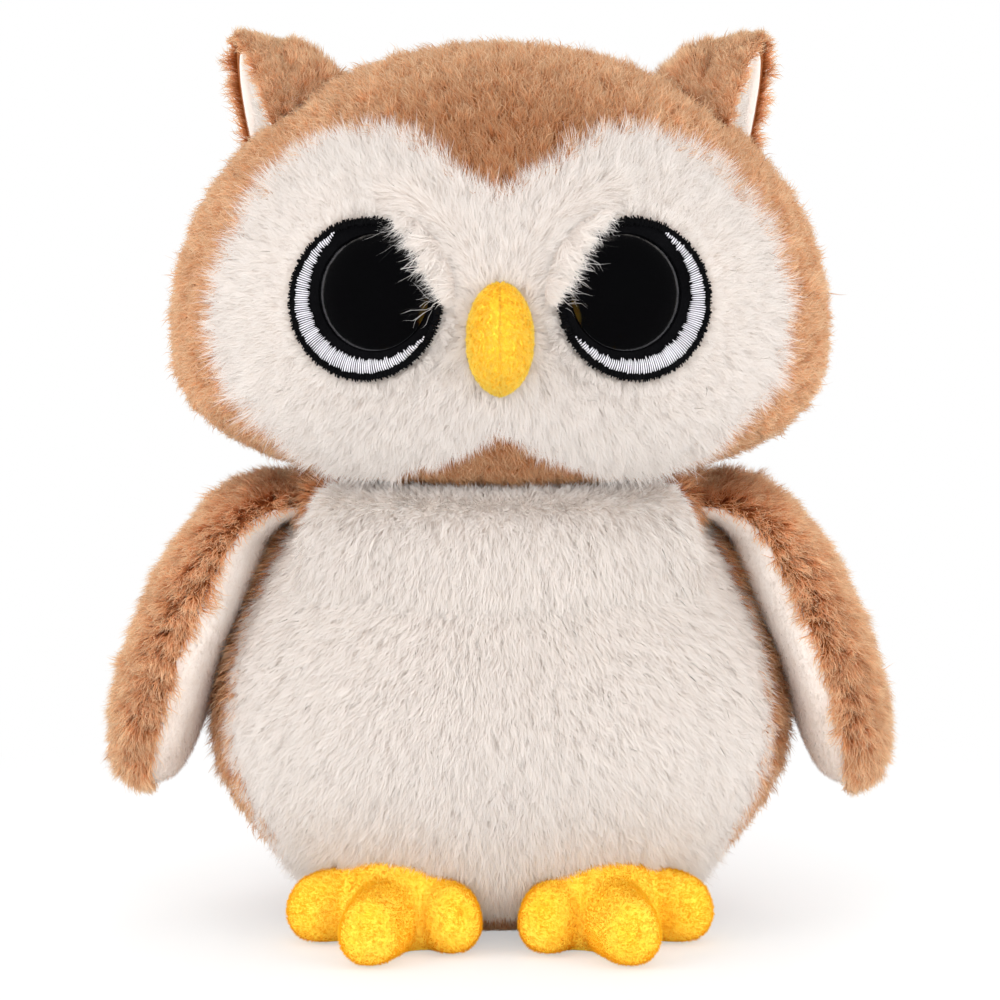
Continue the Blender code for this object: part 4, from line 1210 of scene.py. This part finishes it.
for word, side in SIDES:
    form = ear_form(side)
    ear = f"ear_{word}"
    surface = ear_skin(f"{ear}_outer_panel", side, form, ear, BROWN_CLOTH, rim=0.4)
    foot = surface[0][:, 2].min()
    centre, turn = form[2:]
    out = turn[:, 0] * side
    places, normals = scatter(surface, EAR_STRANDS)
    rim = smoothstep((places - centre) @ out, -0.014, -0.005)
    # The low middle of the ear, crowded by the head's fur, is darkened as painted shade.
    low = smoothstep(places[:, 2], foot + 0.022, foot + 0.006) * (1 - rim)
    grow_fur(
        f"{ear}_fur", ear, (places, normals), places - centre + np.array((side * 0.004, 0, 0.006)),
        BROWN_COAT, length=EAR_FUR - EAR_FUR_CUT_AT_RIM * rim, sink=0.0010, lift=64, lay=34,
        shade=0.60 * low - 0.06,
    )
    places, normals = scatter(
        surface, EAR_FRINGE_STRANDS, lambda at: (at - centre) @ out > EAR_FRINGE_RIM
    )
    comb = out + np.array((0, 0, 0.4)) + rng.normal(0, 0.2, (EAR_FRINGE_STRANDS, 3))
    behind = smoothstep(places[:, 1], 0.002, 0.010)
    grow_fur(
        f"{ear}_fringe", ear, (places, normals), comb, BROWN_COAT,
        length=EAR_FRINGE_FUR + 0.0012 * behind, sink=0.0006, lift=42, lay=2, shade=-0.05,
    )
    # The fur at the ear's foot, where it meets the head, is darkened as painted shade.
    near = scatter(surface, EAR_BASE_STRANDS, lambda at: at[:, 2] < foot + EAR_BASE_TALL)
    grow_fur(
        f"{ear}_base_fur", ear, near, near[1] * 0.3 - np.array((0, 0, 1.0)), BROWN_COAT,
        length=EAR_BASE_FUR, sink=0.0010, lift=40, lay=8, shade=0.3,
    )
    ear_skin(f"{ear}_lining", side, form, ear, LINING_CLOTH, inner=True)
    around = np.linspace(0, math.tau, 40, endpoint=False)
    rows = []
    for level in np.radians(np.linspace(-8, 88, 24)):
        ring = np.stack((np.cos(around), np.sin(around), np.zeros(40)), axis=1) * math.cos(level)
        ring = (ring + (0, 0, math.sin(level))) * EAR_CUSHION_RADII
        ring = ring * (side, 1, 1) - (side * EAR_CUSHION_SINK, 0, 0)
        rows.append(spread_ear(centre + ring @ turn.T, side))
    points, faces = tube(rows)
    if side < 0:
        faces = [face[::-1] for face in faces]
    cushion = mesh_piece(f"{ear}_lining_cushion", points, faces, WHITE_MINKY)
    dress(cushion, ear, "white_minky")
    normals, triangles = vertex_normals(cushion), triangles_of(cushion)
    open_side = (normals[triangles].mean(axis=1) @ out) > 0.05
    places, normals = scatter((points, normals, triangles[open_side]), EAR_FLUFF_STRANDS)
    grow_fur(
        f"{ear}_fluff", ear, (places, normals), places - centre + out * 0.01, WHITE_COAT,
        length=EAR_FLUFF, lift=66, lay=24, width=0.00022,
    )


# Eyes
PATCH_RINGS = (
    (0.0196, -0.0030),
    (0.0208, 0.0000),
    (0.0209, 0.0009),
    (0.0206, 0.0012),
    (0.0160, 0.0013),
    (0.0100, 0.0013),
    (0.0040, 0.0013),
)
EDGE_STITCHES = 330
EDGE_INNER_RADIUS = 0.0190
EDGE_OUTER_RADIUS = 0.0211
EDGE_OUTER_RISE = 0.0010
STITCH_HALF_WIDTH = 0.00024
STITCH_HEIGHT = 0.00022
CRESCENT_STITCHES = 112
CRESCENT_MIDDLE = math.radians(-45)
CRESCENT_REACH = math.radians(106)
CRESCENT_WIDTH = 0.0042
CRESCENT_OUTER_RISE = 0.0016
CRESCENT_HALF_WIDTH = 0.00021
CRESCENT_HEIGHT = 0.00026
BROW_HAIRS = 4200
BROW_START = 106
BROW_SPAN = 76
BROW_RADIUS = 0.0245
STRAY_HAIRS = 60
STRAY_WIDTH = 0.00012
THREAD_SIDES = 6
THREAD_SHARES = (0.0, 0.10, 0.35, 0.65, 0.90, 1.0)
THREAD_SIZES = (0.30, 0.85, 1.0, 1.0, 0.85, 0.30)
THREAD_ARCH = (-0.6, 0.25, 1.0, 1.0, 0.25, -0.6)


def threads(name, starts, ends, normals, width, height, material):
    """Satin stitches: flat padded threads that arch from their starts to their ends."""
    turns = np.linspace(0, math.tau, THREAD_SIDES, endpoint=False)
    across = unit(np.cross(ends - starts, normals))
    rings = []
    for share, size, rise in zip(THREAD_SHARES, THREAD_SIZES, THREAD_ARCH):
        middle = starts + (ends - starts) * share + normals * (rise * height)[:, None]
        wide = across[:, None] * (width[:, None] * np.cos(turns) * size)[:, :, None]
        deep = normals[:, None] * (height[:, None] * np.sin(turns) * size)[:, :, None]
        rings.append(middle[:, None] + wide + deep)
    points = np.stack(rings, axis=1).reshape(-1, 3)
    pattern = []
    for ring in range(len(rings) - 1):
        for step in range(THREAD_SIDES):
            a = ring * THREAD_SIDES + step
            b = ring * THREAD_SIDES + (step + 1) % THREAD_SIDES
            pattern.append((a, b, b + THREAD_SIDES, a + THREAD_SIDES))
    size = len(rings) * THREAD_SIDES
    pattern.append(tuple(range(THREAD_SIDES))[::-1])
    pattern.append(tuple(range(size - THREAD_SIDES, size)))
    faces = []
    for index in range(len(starts)):
        faces.extend([tuple(index * size + corner for corner in face) for face in pattern])
    return mesh_piece(name, points, faces, material)


for word, side in SIDES:
    centre, normal, outward, up = eye_axes(side)
    turns = np.linspace(0, math.tau, 96, endpoint=False)
    rings = [eye_points(side, radius, turns, above)[0] for radius, above in PATCH_RINGS]
    patch = mesh_piece(f"eye_{word}_patch_felt", *tube(rings), BLACK_FELT)
    dress(patch, "head", "black_felt", f"eye_{word}_patch")

    count = EDGE_STITCHES
    turns = np.linspace(0, math.tau, count, endpoint=False)
    lean = rng.normal(0, 0.012, count)
    radius = EDGE_INNER_RADIUS + rng.uniform(-0.0003, 0.0003, count)
    inner, _ = eye_points(side, radius, turns, EYE_BED)
    radius = EDGE_OUTER_RADIUS + rng.uniform(-0.0002, 0.0006, count)
    outer, normals = eye_points(side, radius, turns + lean, EDGE_OUTER_RISE)
    width = STITCH_HALF_WIDTH * rng.uniform(0.85, 1.2, count)
    height = STITCH_HEIGHT * rng.uniform(0.8, 1.4, count)
    ring = threads(f"eye_{word}_edge_stitches", inner, outer, normals, width, height, BLACK_THREAD)
    dress(ring, "head", "black_thread", f"eye_{word}_stitch_ring")

    count = CRESCENT_STITCHES
    spread = np.linspace(-1, 1, count) * CRESCENT_REACH
    thick = CRESCENT_WIDTH * np.cos(spread / CRESCENT_REACH * math.pi / 2) ** 0.7
    thick = thick + rng.uniform(-0.0003, 0.0006, count)
    turns = CRESCENT_MIDDLE + spread
    radius = CRESCENT_RADIUS + rng.uniform(0.0, 0.0005, count)
    outer, _ = eye_points(side, radius, turns, CRESCENT_OUTER_RISE)
    inner, normals = eye_points(side, CRESCENT_RADIUS - thick, turns, EYE_BED)
    width = CRESCENT_HALF_WIDTH * rng.uniform(0.80, 1.15, count)
    height = CRESCENT_HEIGHT * rng.uniform(0.8, 1.3, count)
    crescent = threads(
        f"eye_{word}_crescent_stitches", inner, outer, normals, width, height, WHITE_THREAD
    )
    dress(crescent, "head", "white_thread", f"eye_{word}_crescent")

    seat = on_face(side * (EYE_SPREAD - PUPIL_INWARD_SHIFT), EYE_HEIGHT + PUPIL_UPWARD_SHIFT)[0][0]
    rise = EYE_BED + PUPIL_RISE
    radius = PUPIL_RADIUS + DOME_RIM
    sphere = (radius**2 + rise**2) / (2 * rise)
    widest = math.asin(radius / sphere)
    profile = [(radius * 0.2, -0.002), (radius * 0.97, -0.0005)]
    for angle in widest * np.linspace(1.0, 0.02, 28):
        profile.append((sphere * math.sin(angle), rise - sphere + sphere * math.cos(angle)))
    turns = np.linspace(0, math.tau, 96, endpoint=False)
    circle = np.outer(np.cos(turns), outward) + np.outer(np.sin(turns), up)
    rings = [seat + circle * radius + normal * height for radius, height in profile]
    dome = mesh_piece(f"eye_{word}_dome", *tube(rings), GLOSS_BLACK)
    dress(dome, "head", "black_plastic", f"eye_{word}_pupil")

    count = BROW_HAIRS
    turns = np.radians(rng.uniform(BROW_START, BROW_START + BROW_SPAN, count))
    place = (turns - math.radians(BROW_START)) / math.radians(BROW_SPAN)
    share = np.sin(place * math.pi) ** 0.8
    radius = BROW_RADIUS - (0.0010 + 0.0034 * share) * rng.random(count)
    places, normals = eye_points(side, radius, turns, 0.0004)
    inward = unit(centre - places) + outward * 0.15 - up * 0.25
    reach = (0.0026 + 0.0034 * share) * rng.uniform(0.5, 1.25, count)
    reach = reach * np.where(rng.random(count) < 0.10, 1.6, 1.0)
    grow_fur(
        f"brow_{word}_fur", "head", (places, normals), inward, WHITE_COAT,
        knots=LONG, length=reach, lift=54, lay=8, sink=0.0, tuft_swing=22,
    )
    count = STRAY_HAIRS
    turns = np.radians(rng.uniform(BROW_START + 2, BROW_START + BROW_SPAN + 4, count))
    places, normals = eye_points(side, rng.uniform(0.0185, 0.0205, count), turns, 0.0022)
    inward = unit(centre - places) + rng.normal(0, 0.45, (count, 3))
    length = rng.uniform(0.0035, 0.0095, count)
    length = length * np.where(rng.random(count) < 0.15, 1.35, 1.0)
    grow_fur(
        f"brow_{word}_stray_hairs", "head", (places, normals), inward, PLAIN_COAT,
        slot="white_fur", material=HAIR_GREY, knots=LONG, length=length, lift=60, lay=14,
        tuft=0.0002, width=STRAY_WIDTH, wave=0.0012, rough=0.1,
    )


# Beak
BEAK_ROWS = 60
BEAK_STEPS = 40
BEAK_GROOVE = 0.00012
BEAK_GROOVE_WIDTH = 0.0007
BEAK_STRANDS = 20000
beak_seat = on_face(0.0, BEAK_HEIGHT)[0][0]
for word, side in SIDES:
    angles = np.linspace(-math.pi / 2, math.pi / 2, BEAK_STEPS)
    rows = []
    for place in np.linspace(0.0, 1.0, BEAK_ROWS):
        swell = max(1 - abs(2 * place - 1) ** 2.3, 0.0) ** 0.60
        width = BEAK_WIDTH / 2 * max(swell, 0.02)
        reach = BEAK_REACH * max(eased(BEAK_REACH_SHARES, place), 0.02)
        x = width * np.cos(angles)
        y = np.where(angles < 0, reach, BEAK_ROOT) * np.sin(angles)
        groove = np.exp(-((x / BEAK_GROOVE_WIDTH) ** 2)) * (angles < 0) * min(reach / 0.004, 1)
        z = np.full(BEAK_STEPS, BEAK_HEIGHT + BEAK_LENGTH / 2 * (2 * place - 1))
        y = beak_seat[1] + y + BEAK_GROOVE * groove
        rows.append(np.stack((side * (x + 0.00002), y, z), axis=1))
    rows = np.array(rows)
    faces = grid_faces(BEAK_ROWS, BEAK_STEPS, side < 0)
    for row in range(BEAK_ROWS - 1):
        a, b = row * BEAK_STEPS, row * BEAK_STEPS + BEAK_STEPS - 1
        face = (a, a + BEAK_STEPS, b + BEAK_STEPS, b)
        faces.append(face[::-1] if side < 0 else face)
    half_beak = mesh_piece(f"beak_{word}_cover", rows.reshape(-1, 3), faces, YELLOW_MINKY)
    dress(half_beak, "head", "yellow_minky", f"beak_{word}_panel")
    points, normals, triangles = surface_of(half_beak)
    seen = (points[triangles][:, :, 1] < beak_seat[1] + 0.002).all(axis=1)
    seen &= (np.abs(points[triangles][:, :, 0]) > 0.0001).any(axis=1)
    places, normals = scatter((points, normals, triangles[seen]), BEAK_STRANDS)
    grow_fur(
        f"beak_{word}_pile", "head", (places, normals), places * 0 + np.array((0, 0, -1.0)),
        PILE_COAT, slot="yellow_minky", material=YELLOW_PILE, lay=40, tuft_swing=40, stray=30,
    )


# Feet
INNER_TOE_FAN = math.radians(35)
TOE_TAPER_SHARES = ((0.0, 1.00), (0.45, 1.00), (0.80, 0.92))
TOE_TIP_SHARE = 0.82
PAD_CREST = 0.0155
PAD_BREADTH = 0.96
PAD_STRETCH = 1.10
FOOT_LOBES = (
    (-INNER_TOE_FAN, SIDE_TOE_SHARE, 1.0),
    (0.0, 1.0, 1.0),
    (TOE_FAN, SIDE_TOE_SHARE, 1.0),
    (-INNER_TOE_FAN / 2, 0.44, 0.98),
    (TOE_FAN / 2, 0.42, 0.98),
)
FOOT_VOXEL = 0.0009
FOOT_SMOOTHING = 36
FOOT_RISE = 0.0022
FOOT_SEAT_GAUGE = 0.965
FOOT_STRANDS = 60000


def toe_rings(heel, along, reach, swell):
    across = np.array((-along[1], along[0], 0.0)) * swell
    tip = TOE_RADIUS * TOE_TIP_SHARE * swell
    stations = [(reach * place, size) for place, size in TOE_TAPER_SHARES]
    for angle in np.radians((10, 25, 40, 55, 70, 82)):
        stations.append((reach + tip * math.sin(angle), TOE_TIP_SHARE * math.cos(angle)))
    turns = np.linspace(0, math.tau, 32, endpoint=False)
    ring = np.outer(np.cos(turns), across) * TOE_RADIUS
    ring = ring + np.outer(np.sin(turns), (0, 0, TOE_CREST * swell))
    return [heel + along * distance + ring * size for distance, size in stations]


def heading(turn):
    return np.array((math.sin(turn), -math.cos(turn), 0.0))


for word, side in SIDES:
    heel = np.array((side * FOOT_SPREAD, -FOOT_FORWARD, FOOT_AXIS_HEIGHT))
    shapes = []
    for fan, share, size in FOOT_LOBES:
        along = heading(side * (FOOT_TURN + fan))
        shapes.append(tube(toe_rings(heel, along, TOE_REACH * share, size)))
    forward = heading(side * FOOT_TURN)
    middle = heel + forward * PAD_FORWARD
    turns = np.linspace(0, math.tau, 48, endpoint=False)
    circle = np.outer(np.cos(turns), np.cross(forward, (0, 0, 1))) * PAD_BREADTH
    circle = circle + np.outer(np.sin(turns), forward) * PAD_STRETCH
    pad = []
    for angle in np.radians(np.linspace(-80, 80, 17)):
        height = np.array((0, 0, PAD_CREST * math.sin(angle)))
        pad.append(middle + circle * PAD_RADIUS * math.cos(angle) + height)
    shapes.append(tube(pad))
    all_points, all_faces, start = [], [], 0
    for points, faces in shapes:
        all_points.append(points)
        all_faces.extend([tuple(index + start for index in face) for face in faces])
        start += len(points)
    foot = mesh_piece(f"foot_{word}_cover", np.concatenate(all_points), all_faces, YELLOW_MINKY)
    applied(foot, "REMESH", mode="VOXEL", voxel_size=FOOT_VOXEL)
    applied(foot, "SMOOTH", factor=0.5, iterations=FOOT_SMOOTHING)
    points = points_of(foot)
    rise = smoothstep(points[:, 2], FOOT_AXIS_HEIGHT, FOOT_AXIS_HEIGHT + 0.010)
    points[:, 2] = np.maximum(points[:, 2] + FOOT_RISE * rise, 0.0)
    pushed = settle(points, np.full(len(points), FOOT_SEAT_GAUGE), BODY_FORM)
    points = np.where((body_gauge(points) < FOOT_SEAT_GAUGE)[:, None], pushed, points)
    move_points(foot, points)
    foot.data.materials.clear()
    foot.data.materials.append(YELLOW_MINKY)
    foot.data.shade_smooth()
    dress(foot, "body", "yellow_minky", f"foot_{word}_sole", f"foot_{word}_upper")
    filling = placed(f"foot_{word}_filling", foot.data.copy())
    filling.data.materials[0] = FIBRE
    move_points(filling, points - vertex_normals(foot) * 0.0015)
    dress(filling, "body", "fibre_filling", f"foot_{word}_stuffing")
    triangles = triangles_of(foot)
    high = points[triangles][:, :, 2].min(axis=1) > 0.0004
    places, normals = scatter((points, vertex_normals(foot), triangles[high]), FOOT_STRANDS)
    grow_fur(
        f"foot_{word}_pile", "body", (places, normals), places - heel + np.array((0, 0, 0.01)),
        PILE_COAT, slot="yellow_minky", material=FOOT_PILE, lay=42, tuft_swing=24, stray=24,
        rough=0.18,
    )


# What is inside keeps its CAD shape
INSIDE = {
    "stuffing": FIBRE,
    "pouch": POUCH,
    "washer": WASHER,
    "seam": BROWN_SKIN,
}
for name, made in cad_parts.items():
    for ending, material in INSIDE.items():
        if name.endswith(ending) and not made.hide_render:
            made.data.materials.clear()
            made.data.materials.append(material)


# Camera, at the photograph's view
CAMERA_DISTANCE = 1.05
CAMERA_PITCH = math.radians(8)
AIM_HEIGHT = 0.114555
FOCAL_PIXELS = 3800.4
PHOTO_PIXELS = 1000
SENSOR_MILLIMETRES = 36.0

lens = bpy.data.cameras.new("camera")
lens.sensor_width = SENSOR_MILLIMETRES
lens.lens = FOCAL_PIXELS * SENSOR_MILLIMETRES / PHOTO_PIXELS
lens.clip_start = 0.05
camera = placed("camera", lens)
rise = CAMERA_DISTANCE * math.tan(CAMERA_PITCH)
camera.location = (0.0, -CAMERA_DISTANCE, AIM_HEIGHT + rise)
camera.rotation_euler = (math.pi / 2 - CAMERA_PITCH, 0.0, 0.0)
bpy.context.scene.camera = camera

# Light, by name, place, height aimed at and watts
LAMP_SIZE = 1.4
LAMPS = (
    ("left", (-1.6, -1.0, 0.8), 0.1, 20),
    ("right", (1.6, -1.0, 0.6), 0.1, 18),
    ("front", (0.0, -1.9, 0.15), 0.1, 14),
    ("back", (0.3, 1.4, 1.3), 0.12, 12),
)
ROOM_LIGHT = 0.92
ROOM_IN_GLOSS = 0.04

for name, place, aim, power in LAMPS:
    light = bpy.data.lights.new(name, "AREA")
    light.shape = "DISK"
    light.size = LAMP_SIZE
    light.energy = power
    lamp = placed(name, light)
    lamp.location = place
    lamp.rotation_euler = (Vector((0, 0, aim)) - Vector(place)).to_track_quat("-Z", "Y").to_euler()
    lamp.visible_glossy = False

world = bpy.data.worlds.new("studio")
world.use_nodes = True
bpy.context.scene.world = world
background = world.node_tree.nodes["Background"]
background.inputs["Color"].default_value = (1, 1, 1, 1)
rays = new_node(world, "ShaderNodeLightPath")
strength = new_node(world, "ShaderNodeMapRange", To_Min=ROOM_LIGHT, To_Max=1.0)
mirrored = new_node(world, "ShaderNodeMix", {"data_type": "FLOAT"}, B=ROOM_IN_GLOSS)
link(world, rays, "Is Camera Ray", strength, "Value")
link(world, rays, "Is Glossy Ray", mirrored, "Factor")
link(world, strength, "Result", mirrored, "A")
link(world, mirrored, "Result", background, "Strength")

# Floor, which fades to white away from the owl
FLOOR_REACH = 30.0
FLOOR_DROP = 0.0003
FADE_START = 0.09
FADE_END = 0.26
GLOW_UNDER = 0.45

paint, shader = new_material("floor", (0.92, 0.92, 0.92))
glow = new_node(paint, "ShaderNodeEmission", Strength=1.0)
mix = new_node(paint, "ShaderNodeMixShader")
rays = new_node(paint, "ShaderNodeLightPath")
seen = new_node(paint, "ShaderNodeMath", {"operation": "MULTIPLY"})
place = new_node(paint, "ShaderNodeNewGeometry")
apart = new_node(paint, "ShaderNodeVectorMath", {"operation": "LENGTH"})
fade = new_node(
    paint, "ShaderNodeMapRange", {"interpolation_type": "SMOOTHSTEP"},
    From_Min=FADE_START, From_Max=FADE_END, To_Min=GLOW_UNDER, To_Max=1.0,
)
link(paint, place, "Position", apart, "Vector")
link(paint, apart, "Value", fade, "Value")
link(paint, rays, "Is Camera Ray", seen, 0)
link(paint, fade, "Result", seen, 1)
link(paint, seen, "Value", mix, "Fac")
link(paint, shader, "BSDF", mix, 1)
link(paint, glow, "Emission", mix, 2)
link(paint, mix, "Shader", paint.node_tree.nodes["Material Output"], "Surface")
corners = [
    (x * FLOOR_REACH, y * FLOOR_REACH, -FLOOR_DROP)
    for x, y in ((-1, -1), (1, -1), (1, 1), (-1, 1))
]
floor = mesh_piece("floor", corners, ((0, 1, 2, 3),), paint)
floor.visible_glossy = False

bpy.context.scene.view_settings.view_transform = "Standard"
